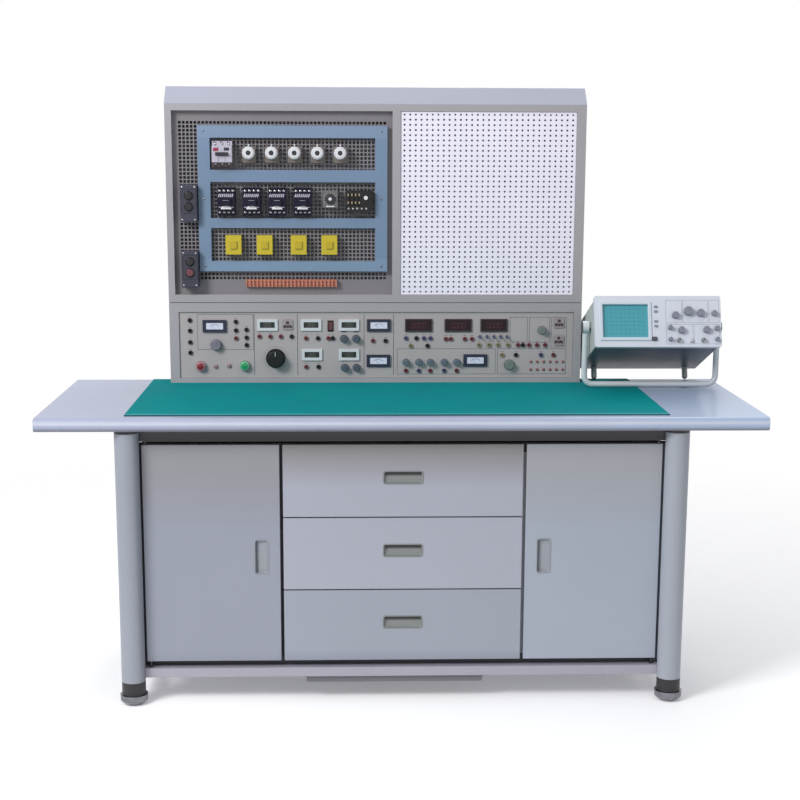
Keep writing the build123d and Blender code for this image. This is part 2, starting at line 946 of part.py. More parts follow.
def make_fascia():
    plate = slab(
        fascia_left + panel_gap, fascia_right - panel_gap, fascia_front, fascia_back,
        fascia_bottom + panel_gap, fascia_top - panel_gap,
    )
    holes = [(place, shaft + 2 * fit_gap) for place, shaft in knob_holes()]
    holes += [(place, jack_barrel + 2 * fit_gap) for place in jack_places]
    holes += [(place, lamp_barrel + 2 * fit_gap) for place in lamp_places]
    holes += [(place, led_barrel + 2 * fit_gap) for place in led_places()]
    holes += [(place, toggle_bush + 2 * fit_gap) for place in toggle_places]
    holes += [(place, push_button_stem + 2 * fit_gap) for place in (red_button_place, green_button_place)]
    tools = [plug(*on_fascia(place), fascia_front, fascia_back, hole) for place, hole in holes]
    cutouts = [(place, meter_window) for place in meter_places]
    cutouts += [(place, digital_window) for place in digital_places]
    cutouts += [(place, display_window) for place in display_places]
    cutouts += [(place, outlet_inner()) for place in outlet_places]
    cutouts.append((rocker_place, rocker_opening()))
    tools += [
        block(*on_fascia(place), size[0] + 2 * fit_gap, size[1] + 2 * fit_gap, fascia_front, fascia_back)
        for place, size in cutouts
    ]
    return plate - tools


def outlet_inner():
    """An outlet's body behind the fascia."""
    return outlet_size[0] - 2 * outlet_rim, outlet_size[1] - 2 * outlet_rim


def rocker_opening():
    """The fascia's opening for the rocker's frame."""
    return rocker_size[0] - 2 * rocker_rim, rocker_size[1] - 2 * rocker_rim


def led_places():
    """The two rows of signal lights."""
    return [(led_first + index * led_pitch, z) for z in led_rows for index in range(led_count)]


def make_window_unit(place, size, window, proud, depth):
    """A panel instrument: a frame before the fascia and a body behind it, with a sunk window."""
    x, z = on_fascia(place)
    bezel = block(x, z, *size, fascia_front - proud, fascia_front)
    bezel = soften(bezel, Axis.Y, window_unit_corner)
    body = block(x, z, *window, fascia_front, fascia_back + depth)
    glass = (window[0] - 2 * window_rim, window[1] - 2 * window_rim)
    sunk = block(x, z, *glass, fascia_front - proud, fascia_front - proud + window_recess)
    return bezel + body - sunk


def make_jack(place):
    x, z = on_fascia(place)
    collar = plug(x, z, fascia_front - jack_proud, fascia_front, jack_diameter)
    collar = chamfer(collar.edges().sort_by(Axis.Y)[0], jack_bevel)
    barrel = plug(x, z, fascia_front, fascia_front + jack_length, jack_barrel)
    bore = plug(x, z, fascia_front - jack_proud, fascia_front + jack_length - jack_end, jack_bore)
    return collar + barrel - bore


def make_outlet(place):
    x, z = on_fascia(place)
    flange = block(x, z, *outlet_size, fascia_front - outlet_proud, fascia_front)
    flange = soften(flange, Axis.Y, outlet_rim)
    outlet = flange + block(x, z, *outlet_inner(), fascia_front, fascia_back + outlet_depth)
    y0 = fascia_front - outlet_proud
    for dx, dz in outlet_slot_places:
        outlet -= block(x + dx, z + dz, *outlet_slot, y0, y0 + outlet_depth - outlet_floor)
    return outlet


def make_lamp(place, diameter, barrel, proud):
    x, z = on_fascia(place)
    lens = plug(x, z, fascia_front - proud, fascia_front, diameter)
    lens = fillet(lens.edges().sort_by(Axis.Y)[0], proud / 2)
    return lens + plug(x, z, fascia_front, fascia_back + proud, barrel)


def make_knob(x, z, seat, diameter, depth, shaft, shaft_length):
    """A turned knob with a skirt, a pointer rib and a shaft, standing before its seat."""
    back = seat - knob_standoff
    skirt = plug(x, z, back - knob_skirt, back, diameter)
    grip = plug(x, z, back - depth, back - knob_skirt, diameter * knob_grip_share)
    grip = fillet(grip.edges().sort_by(Axis.Y)[0], knob_edge)
    rib_width, rib_height = (diameter * share for share in knob_rib_share)
    rib_front = back - depth - knob_rib_proud
    rib = block(x, z + rib_height / 2, rib_width, rib_height, rib_front, back - knob_skirt)
    return skirt + grip + rib + plug(x, z, back, seat + shaft_length, shaft)


def make_fascia_knob(place, diameter):
    return make_knob(*on_fascia(place), fascia_front, diameter, knob_depth, knob_shaft, knob_shaft_length)


def make_variac_knob():
    x, z = on_fascia(variac_place)
    return make_knob(x, z, fascia_front, variac_diameter, variac_depth, variac_shaft, variac_shaft_length)


def make_timer_dial():
    x, z = in_bay(timer_place)
    seat = stack_front(timer_size)
    length = knob_shaft_length - running_gap
    return make_knob(x, z, seat, timer_dial_diameter, timer_dial_depth, knob_shaft, length)


def make_toggle(place):
    x, z = on_fascia(place)
    bush = plug(x, z, fascia_front - toggle_bush_proud, fascia_back + toggle_body_depth, toggle_bush)
    root = Pos(x, front_y + fascia_front - toggle_bush_proud / 2, z) * Rot(90 + toggle_lean, 0, 0)
    lever = root * Pos(0, 0, toggle_lever_length / 2) * Cylinder(toggle_lever / 2, toggle_lever_length)
    tip = root * Pos(0, 0, toggle_lever_length) * Sphere(toggle_tip / 2)
    return bush + lever + tip


def make_push_button(place):
    x, z = on_fascia(place)
    back = fascia_front - push_button_travel - running_gap
    cap = plug(x, z, back - push_button_proud, back, push_button_diameter)
    cap = fillet(cap.edges().sort_by(Axis.Y)[0], push_button_edge)
    return cap + plug(x, z, back, fascia_back + push_button_stem_length, push_button_stem)


def make_rocker():
    x, z = on_fascia(rocker_place)
    width = rocker_opening()[0] - 2 * running_gap
    height = rocker_opening()[1] - 2 * rocker_sweep_gap
    body = block(x, z, width, height, fascia_front - rocker_proud, fascia_front + rocker_depth - rocker_proud)
    front_edges = body.edges().filter_by(Axis.X).group_by(Axis.Y)[0]
    return fillet(front_edges, rocker_edge)


# Hidden pieces

def make_autotransformer():
    x, z = on_fascia(variac_place)
    plate_y = fascia_back
    plate = block(x, z, toroid_plate, toroid_plate, plate_y, plate_y + toroid_plate_thickness)
    y0 = plate_y + toroid_plate_thickness + toroid_gap
    bush = plug(x, z, plate_y, y0 + toroid_length, toroid_bush)
    ring = plug(x, z, y0, y0 + toroid_length, toroid_outer)
    ring -= plug(x, z, y0, y0 + toroid_length, toroid_inner)
    spider = block(x, z, toroid_plate, toroid_bush, y0 - toroid_gap, y0)
    bore = plug(x, z, plate_y, y0 + toroid_length, variac_shaft + 2 * fit_gap)
    return plate + spider + bush + ring - bore


def inlet_centre():
    """The mains inlet's x and z."""
    return console_left + inlet_place[0], console_bottom + inlet_place[1]


def make_inlet():
    x, z = inlet_centre()
    outer = console_rear
    body = block(x, z, *inlet_size, outer - inlet_depth, outer)
    mouth = (inlet_size[0] - 2 * inlet_wall, inlet_size[1] - 2 * inlet_wall)
    floor = outer - inlet_depth + inlet_wall
    body -= block(x, z, *mouth, floor, outer)
    flange = block(x, z, inlet_size[0] + 2 * inlet_flange, inlet_size[1] + inlet_flange,
                   outer - sheet - inlet_flange_thickness, outer - sheet)
    flange -= block(x, z, *mouth, outer - sheet - inlet_flange_thickness, outer - sheet)
    inlet = body + flange
    for column in (-1, 0, 1):
        pin_x = x + column * inlet_pin_pitch
        inlet += block(pin_x, z, inlet_pin[0], inlet_pin[2], floor, floor + inlet_pin[1])
    return inlet


# Oscilloscope

def scope_block(x0, x1, y0, y1, z0, z1):
    """A box in the scope's tilted frame, with x counted from its left edge."""
    middle = Pos((x0 + x1 - scope_width) / 2, (y0 + y1) / 2, (z0 + z1) / 2)
    return scope_place * middle * Box(x1 - x0, y1 - y0, z1 - z0)


def scope_plug(x, z, y0, y1, diameter):
    """A round bar in the scope's frame, front to back."""
    middle = Pos(x - scope_width / 2, (y0 + y1) / 2, z)
    return scope_place * middle * Rot(90, 0, 0) * Cylinder(diameter / 2, y1 - y0)


def scope_round_box(x0, x1, y0, y1, z0, z1, radius):
    """The same box with its long edges rounded."""
    middle = Pos((x0 + x1 - scope_width) / 2, (y0 + y1) / 2, (z0 + z1) / 2)
    return scope_place * middle * soften(Box(x1 - x0, y1 - y0, z1 - z0), Axis.Y, radius)


def make_scope_case():
    low = scope_case_inset
    right = scope_width - low
    top = scope_height - low
    outer = scope_round_box(low, right, scope_bezel_depth, scope_depth, low, top, scope_corner)
    wall = low + scope_wall
    inner = scope_round_box(
        wall, scope_width - wall, scope_bezel_depth, scope_depth - scope_wall,
        wall, scope_height - wall, scope_corner - scope_wall,
    )
    case = outer - inner
    hub_x = scope_width / 2
    for side in (-1, 1):
        start = hub_x - low
        length = low + handle_side_gap + handle_tube
        middle = Pos(side * (start + length / 2), handle_pivot_back, handle_pivot_up)
        case += scope_place * middle * Rot(0, 90, 0) * Cylinder(hub_bore / 2, length)
    return case


def make_scope_feet():
    feet = []
    for side in (-1, 1):
        place = scope_place * Pos(side * scope_foot_x, scope_foot_at, 0)
        length = scope_foot_stem + scope_case_inset
        stem = place * Pos(0, 0, scope_case_inset - length / 2) * Cylinder(scope_foot_radius, length)
        ball = place * Pos(0, 0, -scope_foot_stem) * Sphere(scope_foot_radius)
        feet.append(stem + ball)
    return feet


def screen_box(grow, y0, y1):
    """The screen's rectangle, grown all round."""
    return scope_block(
        screen_left - grow, screen_left + screen_width + grow, y0, y1,
        screen_bottom - grow, screen_bottom + screen_height + grow,
    )


def make_scope_bezel():
    bezel = scope_round_box(0, scope_width, 0, scope_bezel_depth, 0, scope_height, scope_corner)
    bezel -= screen_box(fit_gap, 0, scope_bezel_depth)
    shaft = knob_shaft + 2 * fit_gap
    for x, z in scope_knob_places + (scope_time_knob,):
        bezel -= scope_plug(x, z, 0, scope_bezel_depth, shaft)
    x, z = scope_power_place
    width, height = scope_power_size
    grow = running_gap
    bezel -= scope_block(x - width / 2 - grow, x + width / 2 + grow, 0, scope_bezel_depth,
                         z - height / 2 - grow, z + height / 2 + grow)
    return bezel


def make_scope_tube():
    """The picture tube: the screen's face, its funnel and the neck, in one glass piece."""
    face = screen_box(0, screen_recess, scope_bezel_depth)
    centre = Pos(screen_left + screen_width / 2 - scope_width / 2, 0, screen_bottom + screen_height / 2)
    wide = Plane.XZ * Rectangle(*tube_bulb)
    narrow = Plane.XZ * Rectangle(tube_neck / 2, tube_neck / 2)
    funnel = loft([Pos(0, scope_bezel_depth, 0) * wide, Pos(0, tube_taper, 0) * narrow])
    neck = Pos(0, (tube_taper + tube_length) / 2, 0) * Rot(90, 0, 0) * Cylinder(
        tube_neck / 2, tube_length - tube_taper)
    return face + scope_place * centre * (funnel + neck)


def make_scope_knob(place, diameter):
    knob = Rot(90, 0, 0) * Cylinder(diameter / 2, scope_knob_depth)
    knob = chamfer(knob.edges().sort_by(Axis.Y)[0], scope_knob_bevel)
    knob = Pos(0, -knob_standoff - scope_knob_depth / 2, 0) * knob
    rib_height = diameter / 2 - scope_knob_bevel
    rib = Pos(0, -knob_standoff - scope_knob_depth, rib_height / 2) * Box(scope_rib, scope_rib, rib_height)
    shaft = Pos(0, (scope_bezel_depth - knob_standoff) / 2, 0) * Rot(90, 0, 0) * Cylinder(
        knob_shaft / 2, scope_bezel_depth + knob_standoff)
    return scope_place * Pos(place[0] - scope_width / 2, 0, place[1]) * (knob + rib + shaft)


def make_scope_button(place):
    x, z = place
    width, height = scope_button_size
    return scope_block(x - width / 2, x + width / 2, -scope_button_proud, 0, z - height / 2, z + height / 2)


def make_scope_power():
    x, z = scope_power_place
    width, height = scope_power_size
    reach = scope_power_travel + scope_power_proud
    return scope_block(x - width / 2, x + width / 2, -reach, scope_bezel_depth - scope_power_travel,
                       z - height / 2, z + height / 2)


def handle_centre():
    """The handle's pivot in the bench's own frame."""
    back = handle_pivot_back * cos(scope_tilt) + handle_pivot_up * sin(scope_tilt)
    return scope_x, front_y + scope_front + back, pivot_height


def make_handle():
    """The bail handle, hanging straight down from its pivots as a stand."""
    half = scope_width / 2 + handle_side_gap + handle_tube / 2
    corners = [(-half, 0, 0), (-half, 0, -handle_drop), (half, 0, -handle_drop), (half, 0, 0)]
    path = FilletPolyline(*corners, radius=handle_bend)
    section = Plane(path @ 0, z_dir=path % 0) * Circle(handle_tube / 2)
    handle = sweep(section, path)
    for side in (-1, 1):
        middle = Pos(side * half, 0, 0) * Rot(0, 90, 0)
        handle += middle * Cylinder(hub_diameter / 2, handle_tube)
        handle -= middle * Cylinder(hub_bore / 2 + 2 * fit_gap, handle_tube + 2 * handle_side_gap)
    return Pos(*handle_centre()) * handle


# Writing the parts

save("worktop", make_worktop())
save("rubber_mat", make_mat())
save("leg_columns", *[make_column(*place) for place in leg_places()])
save("leg_end_fittings", *[make(*place) for place in leg_places() for make in (make_top_cap, make_collar)])
save("levelling_feet", *[make_foot(*place) for place in leg_places()])
save("base_frame", *make_base_frame(), make_stiffener())
save("cabinet_carcass", *make_carcass())
save("door_hinge_pins", *make_hinge_pins())
save("drawer_runners", *make_runners())
save("left_door", make_door(-1))
save("right_door", make_door(1))
for level, drawer in enumerate(("bottom_drawer", "middle_drawer", "top_drawer")):
    save(drawer, *make_drawer(level))

save("console_shell", *make_shell())
save("console_back", make_back())
save("console_hood", make_hood())
save("front_frame", make_upper_frame(), make_lower_frame())
save("console_brackets", *[make_bracket(x) for x in bracket_places])
save("mesh_panel", make_mesh_panel())
save("perforated_board", make_perforated_board())
save("blue_frame", make_device_frame())
save("breaker_body", make_breaker())
save("breaker_lever", make_breaker_lever())
save("fuse_holders", *[piece for index in range(fuse_count) for piece in make_fuse_holder(index)])
save("contactors", *[make_contactor(index) for index in range(contactor_count)])
save("relay_bodies", make_timer_body(), make_overload_body())
save("timer_dial", make_timer_dial())
save("yellow_relays", *[make_yellow_relay(x) for x in yellow_places])
save("terminal_strip", make_terminal_strip())
save("station_housings", make_station(0), make_station(1))
for station, station_name in enumerate(("upper", "lower")):
    for button, place in zip(("start", "stop"), station_button_places(station)):
        save(station_name + "_" + button + "_button", make_station_button(place))

save("fascia_plate", make_fascia())
save("analog_meters", *[
    make_window_unit(place, meter_size, meter_window, meter_proud, meter_body_depth)
    for place in meter_places
])
save("digital_meters", *[
    make_window_unit(place, digital_size, digital_window, digital_proud, digital_body_depth)
    for place in digital_places
], *[
    make_window_unit(place, display_size, display_window, digital_proud, digital_body_depth)
    for place in display_places
])
save("panel_sockets", *[make_jack(place) for place in jack_places], *[make_outlet(p) for p in outlet_places])
save("indicator_lamps", *[
    make_lamp(place, lamp_diameter, lamp_barrel, lamp_proud) for place in lamp_places
], *[
    make_lamp(place, led_diameter, led_barrel, led_proud) for place in led_places()
])
save("small_knobs", *[
    make_fascia_knob(place, diameter) for place, diameter in zip(small_knob_places, small_knob_diameters)
])
save("toggle_switches", *[make_toggle(place) for place in toggle_places])
for number, place in enumerate(supply_knob_places, 1):
    save("supply_knob_" + str(number), make_fascia_knob(place, supply_knob_diameter))
save("range_knob", make_fascia_knob(range_knob_place, range_knob_diameter))
save("variac_knob", make_variac_knob())
save("red_button", make_push_button(red_button_place))
save("green_button", make_push_button(green_button_place))
save("power_rocker", make_rocker())
save("autotransformer", make_autotransformer())
save("mains_inlet", make_inlet())

save("scope_case", make_scope_case(), *make_scope_feet())
save("scope_bezel", make_scope_bezel())
save("scope_tube", make_scope_tube())
save("scope_controls", *[
    make_scope_knob(place, diameter) for place, diameter in zip(scope_knob_places, scope_knob_diameters)
], *[
    make_scope_button(place) for place in scope_button_places
])
save("scope_time_knob", make_scope_knob(scope_time_knob, scope_time_knob_diameter))
save("scope_power_button", make_scope_power())
save("scope_handle", make_handle())
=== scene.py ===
import json
import logging
import math
from dataclasses import dataclass, replace
from enum import Enum
from typing import Iterable, Optional, Sequence, Union

import bmesh
import bpy
from mathutils import Matrix, Vector


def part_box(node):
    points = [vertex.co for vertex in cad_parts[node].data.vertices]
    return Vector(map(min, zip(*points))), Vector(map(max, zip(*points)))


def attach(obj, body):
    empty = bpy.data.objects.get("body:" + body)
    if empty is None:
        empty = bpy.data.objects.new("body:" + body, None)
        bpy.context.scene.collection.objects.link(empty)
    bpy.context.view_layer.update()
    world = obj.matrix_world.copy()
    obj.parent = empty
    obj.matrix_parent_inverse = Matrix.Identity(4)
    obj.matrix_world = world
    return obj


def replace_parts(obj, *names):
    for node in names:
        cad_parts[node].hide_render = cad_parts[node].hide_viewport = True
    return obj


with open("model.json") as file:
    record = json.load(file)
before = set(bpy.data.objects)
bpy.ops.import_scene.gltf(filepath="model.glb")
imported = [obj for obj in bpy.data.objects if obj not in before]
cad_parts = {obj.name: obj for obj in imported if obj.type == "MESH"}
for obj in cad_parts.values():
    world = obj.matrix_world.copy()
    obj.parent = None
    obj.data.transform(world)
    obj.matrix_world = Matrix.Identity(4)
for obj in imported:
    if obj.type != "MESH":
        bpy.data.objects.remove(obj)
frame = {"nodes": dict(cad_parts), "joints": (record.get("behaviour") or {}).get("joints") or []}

LOG = logging.getLogger("training_bench")
MM = 0.001
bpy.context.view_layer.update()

Colour = tuple[float, float, float]
Point = Sequence[float]
Place = tuple[float, float]
Places = tuple[Place, ...]
Profile = tuple[Place, ...]


def tone(red: int, green: int, blue: int) -> Colour:
    """Turn a display colour into the linear one that shaders use.

    Args:
        red: Red from 0 to 255.
        green: Green from 0 to 255.
        blue: Blue from 0 to 255.

    Returns:
        The linear colour.
    """
    def linear(value: int) -> float:
        """One channel."""
        share = value / 255
        return share / 12.92 if share <= 0.04045 else ((share + 0.055) / 1.055) ** 2.4

    return linear(red), linear(green), linear(blue)


def shade(colour: Colour, factor: float) -> Colour:
    """The colour made lighter or darker by a factor."""
    return tuple(min(1.0, channel * factor) for channel in colour)


class Signal:
    """A shader socket that takes part in Python arithmetic."""

    def __init__(self, tree: "Tree", socket: bpy.types.NodeSocket) -> None:
        """Wrap one output socket of a tree."""
        self.tree = tree
        self.socket = socket

    def _math(self, operation: str, first: "Value", second: "Value") -> "Signal":
        """Add one Math node with an operation and its two numbers or signals."""
        return self.tree.node("ShaderNodeMath", {"operation": operation}, {0: first, 1: second})

    def __add__(self, other: "Value") -> "Signal":
        """Sum."""
        return self._math("ADD", self, other)

    def __rsub__(self, other: float) -> "Signal":
        """Difference from a number."""
        return self._math("SUBTRACT", other, self)

    def __mul__(self, other: "Value") -> "Signal":
        """Product."""
        return self._math("MULTIPLY", self, other)

    def __lt__(self, other: "Value") -> "Signal":
        """One where this is less."""
        return self._math("LESS_THAN", self, other)

    def at_least(self, other: "Value") -> "Signal":
        """The greater of the two."""
        return self._math("MAXIMUM", self, other)

    def ramp(self, low: float, high: float) -> "Signal":
        """Stretch the span from low to high to 0 to 1, and cut off what lies outside."""
        return self.tree.node("ShaderNodeMapRange", {"clamp": True}, {0: self, 1: low, 2: high})


Value = Union[float, Signal]


class Tree:
    """A node tree that is written as Python expressions."""

    FINER_SHARE = 0.55

    def __init__(self, owner: Union[bpy.types.Material, bpy.types.World]) -> None:
        """Start an empty tree.

        Args:
            owner: The material or the world that gets it.
        """
        owner.use_nodes = True
        self.nodes = owner.node_tree.nodes
        self.links = owner.node_tree.links
        self.nodes.clear()

    def node(
        self,
        kind: str,
        settings: Optional[dict[str, object]] = None,
        values: Optional[dict[Union[int, str], object]] = None,
        output: Union[int, str] = 0,
    ) -> Signal:
        """Add one node.

        Args:
            kind: The node's type.
            settings: Its own settings, which are set first.
            values: Numbers, colours or signals for its sockets.
            output: The output that is wanted.

        Returns:
            That output.
        """
        made = self.nodes.new(kind)
        for name, value in (settings or {}).items():
            setattr(made, name, value)
        for key, value in (values or {}).items():
            if isinstance(value, Signal):
                self.links.new(value.socket, made.inputs[key])
            elif isinstance(value, tuple) and made.inputs[key].type == "RGBA":
                made.inputs[key].default_value = (*value[:3], 1.0)
            else:
                made.inputs[key].default_value = value
        return Signal(self, made.outputs[output])

    def noise(self, where: Signal, scale: float, detail: float = 3.0) -> Signal:
        """Smooth noise between 0 and 1, with so many lumps per metre and finer layers."""
        values = {"Vector": where, "Scale": scale, "Detail": detail, "Roughness": self.FINER_SHARE}
        return self.node("ShaderNodeTexNoise", {"noise_dimensions": "3D"}, values)

    def mix(self, base: Union[Colour, Signal], other: Union[Colour, Signal], share: Value) -> Signal:
        """Blend two colours, with this share of the other one."""
        return self.node("ShaderNodeMix", {"data_type": "RGBA"}, {0: share, 6: base, 7: other}, 2)

    def surface(self, values: dict[str, object]) -> None:
        """End the tree in one Principled surface whose sockets get these values."""
        shader = self.node("ShaderNodeBsdfPrincipled", values=values)
        self.end(shader, "ShaderNodeOutputMaterial")

    def end(self, shader: Signal, kind: str) -> None:
        """Feed a shader into the tree's output node."""
        out = self.nodes.new(kind)
        self.links.new(shader.socket, out.inputs["Surface"])


class Gloss(Enum):
    """How polished a finish is, as its roughness."""

    MIRROR = 0.12
    GLOSSY = 0.28
    SATIN = 0.42
    MATT = 0.6
    DULL = 0.78


@dataclass(frozen=True)
class Zone:
    """A box, in millimetres, where a finish has another colour, with soft sides."""

    colour: Colour
    x: Optional[Place] = None
    y: Optional[Place] = None
    z: Optional[Place] = None
    soft: float = 0.05

    def mask(self, axes: Sequence[Signal]) -> Signal:
        """One inside the box and nought outside.

        Args:
            axes: The place's x, y and z, in metres.

        Returns:
            The mask.
        """
        made: Optional[Signal] = None
        for axis, span in zip(axes, (self.x, self.y, self.z)):
            if span is None:
                continue
            low, high, soft = span[0] * MM, span[1] * MM, self.soft * MM
            part = axis.ramp(low - soft, low + soft) * (1 - axis.ramp(high - soft, high + soft))
            made = part if made is None else made * part
        return made


@dataclass(frozen=True)
class Look:
    """A named material, which is made once, and the name of a slot that it carries."""

    name: str
    slot: str
    colour: Colour

    def build(self) -> bpy.types.Material:
        """Make the material, or take the one that is already made.

        Returns:
            The material.
        """
        made = bpy.data.materials.get(self.name)
        if made is None:
            made = bpy.data.materials.new(self.name)
            self.paint(Tree(made))
        return made

    def paint(self, tree: Tree) -> None:
        """Write the surface into an empty tree."""
        raise NotImplementedError

    def like(self, name: str, colour: Colour) -> "Look":
        """The same surface under another name and in another colour."""
        return replace(self, name=name, colour=colour)

    @staticmethod
    def rounded(tree: Tree, radius: float) -> Signal:
        """The normal that makes edges look rounded by a radius in millimetres."""
        return tree.node("ShaderNodeBevel", {"samples": 4}, {"Radius": radius * MM})


@dataclass(frozen=True)
class Finish(Look):
    """A painted, moulded or laminated surface."""

    gloss: Gloss = Gloss.SATIN
    gloss_spread: float = 0.08
    metallic: float = 0.0
    coat: float = 0.0
    specular: float = 0.5
    mottle: float = 0.05
    mottle_scale: float = 7.0
    mottle_tone: Colour = (0.0, 0.0, 0.0)
    grain: float = 0.0
    grain_scale: float = 900.0
    waviness: float = 0.15
    speck: float = 0.0
    speck_tone: Colour = (0.02, 0.02, 0.025)
    wear: float = 0.0
    worn_light: float = 1.5
    edge: float = 0.6
    zones: tuple[Zone, ...] = ()
    under: Optional[Colour] = None

    def paint(self, tree: Tree) -> None:
        """Write the surface: its colour, its uneven gloss and its fine relief.

        Args:
            tree: The material's empty tree.
        """
        where = tree.node("ShaderNodeTexCoord", output="Object")
        broad = tree.noise(where, self.mottle_scale)
        fine = tree.noise(where, self.grain_scale, 2.0)
        rounded = self.rounded(tree, self.edge)
        colour = self.coloured(tree, where, broad, fine)
        if self.wear:
            colour = tree.mix(colour, shade(self.colour, self.worn_light), self.worn(tree, rounded, broad))
        rough = broad.ramp(0.3, 0.7) * self.gloss_spread + (self.gloss.value - self.gloss_spread / 2)
        height = fine * self.grain + broad * self.waviness
        bump = {"Strength": 0.25, "Distance": 0.0006, "Height": height, "Normal": rounded}
        tree.surface({
            "Base Color": colour, "Roughness": rough, "Metallic": self.metallic, "Coat Weight": self.coat,
            "Coat Roughness": 0.12, "Specular IOR Level": self.specular,
            "Normal": tree.node("ShaderNodeBump", values=bump),
        })

    def coloured(self, tree: Tree, where: Signal, broad: Signal, fine: Signal) -> Signal:
        """The colour over the surface: its zones, its slow mottle and its specks.

        Args:
            tree: The material's tree.
            where: The coordinates.
            broad: The slow noise.
            fine: The fine noise.

        Returns:
            The colour.
        """
        colour: Union[Colour, Signal] = self.colour
        if self.zones:
            split = [tree.node("ShaderNodeSeparateXYZ", values={0: where}, output=axis) for axis in "XYZ"]
            for zone in self.zones:
                colour = tree.mix(colour, zone.colour, zone.mask(split))
        # Faces that point down take the under colour, used as painted shade on undersides.
        if self.under:
            facing = tree.node("ShaderNodeNewGeometry", output="Normal")
            down = tree.node("ShaderNodeSeparateXYZ", values={0: facing}, output="Z") < -0.5
            colour = tree.mix(colour, self.under, down)
        tinted = tree.mix(colour, self.mottle_tone, (1 - broad.ramp(0.25, 0.75)) * self.mottle)
        if not self.speck:
            return tinted
        return tree.mix(tinted, self.speck_tone, fine.ramp(0.66, 0.74) * self.speck)

    def worn(self, tree: Tree, rounded: Signal, broad: Signal) -> Signal:
        """Where an edge is rubbed: its rounded normal leaves the flat one.

        Args:
            tree: The material's tree.
            rounded: The rounded normal.
            broad: The slow noise, which breaks the rubbing up.

        Returns:
            How worn the place is.
        """
        flat = tree.node("ShaderNodeNewGeometry", output="Normal")
        sides = {0: rounded, 1: flat}
        match = tree.node("ShaderNodeVectorMath", {"operation": "DOT_PRODUCT"}, sides, "Value")
        return (1 - match).ramp(0.01, 0.2) * broad.ramp(0.4, 0.65) * self.wear


@dataclass(frozen=True)
class Brushed(Look):
    """A bare metal surface with fine marks along one axis."""

    gloss: Gloss = Gloss.GLOSSY
    along: Point = (40.0, 40.0, 1400.0)
    patch_scale: float = 18.0
    mark_shade: float = 0.72
    mark_gloss: float = 0.12
    patch_gloss: float = 0.1
    edge: float = 0.4

    def paint(self, tree: Tree) -> None:
        """Write the surface: long fine marks over slow patches.

        Args:
            tree: The material's empty tree.
        """
        where = tree.node("ShaderNodeTexCoord", output="Object")
        stretched = tree.node("ShaderNodeMapping", values={"Vector": where, "Scale": self.along})
        marks = tree.noise(stretched, 1.0, 4.0)
        broad = tree.noise(where, self.patch_scale)
        colour = tree.mix(self.colour, shade(self.colour, self.mark_shade), marks.ramp(0.35, 0.8) * 0.5)
        rough = marks * self.mark_gloss + broad * self.patch_gloss + (self.gloss.value - self.patch_gloss)
        rounded = self.rounded(tree, self.edge)
        bump = {"Strength": 0.12, "Distance": 0.0003, "Height": marks, "Normal": rounded}
        tree.surface({"Base Color": colour, "Roughness": rough, "Metallic": 1.0,
                      "Normal": tree.node("ShaderNodeBump", values=bump)})


ZINC = Brushed("zinc-plated screw", "bright_steel", tone(168, 168, 172))


class Facing(Enum):
    """Which way a screw faces, as the sign of y."""

    FRONT = -1
    BACK = 1


@dataclass(frozen=True)
class Extent:
    """A node's box at rest, in millimetres."""

    left: float
    right: float
    front: float
    back: float
    bottom: float
    top: float

    @classmethod
    def of(cls, node: str) -> "Extent":
        """Read a node's box from the frame."""
        low, high = (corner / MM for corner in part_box(node))
        return cls(low.x, high.x, low.y, high.y, low.z, high.z)

    @property
    def middle(self) -> Vector:
        """The box's centre."""
        return Vector((self.left + self.right, self.front + self.back, self.bottom + self.top)) / 2

    @property
    def size(self) -> Vector:
        """The box's three sizes."""
        return Vector((self.right - self.left, self.back - self.front, self.top - self.bottom))


def circle(radius: float, sides: int) -> list[Place]:
    """A round outline about the origin."""
    angles = [2 * math.pi * index / sides for index in range(sides)]
    return [(radius * math.cos(angle), radius * math.sin(angle)) for angle in angles]


def rounded_outline(width: float, height: float, radius: float, steps: int = 4) -> list[Place]:
    """A rectangle with round corners about the origin.

    Args:
        width: Size along x.
        height: Size along z.
        radius: The corners' radius.
        steps: Points in each corner, less one.

    Returns:
        The outline's points in turn.
    """
    corners = ((1, -1), (1, 1), (-1, 1), (-1, -1))
    if radius <= 0:
        return [(side_x * width / 2, side_z * height / 2) for side_x, side_z in corners]
    points = []
    for turn, (side_x, side_z) in enumerate(corners):
        for step in range(steps + 1):
            angle = math.radians(-90 + 90 * turn + 90 * step / steps)
            x = side_x * (width / 2 - radius) + radius * math.cos(angle)
            z = side_z * (height / 2 - radius) + radius * math.sin(angle)
            points.append((x, z))
    return points


def placed(outline: Iterable[Place], x: float, y: float, z: float) -> list[Point]:
    """An outline in the plane at y, moved by x and z."""
    return [(x + across, y, z + up) for across, up in outline]


def seated(face: float, proud: float, sunk: float = 0.2) -> Place:
    """The back and the front of a piece that stands proud of a face and is sunk in it a little."""
    return face + sunk, face - proud


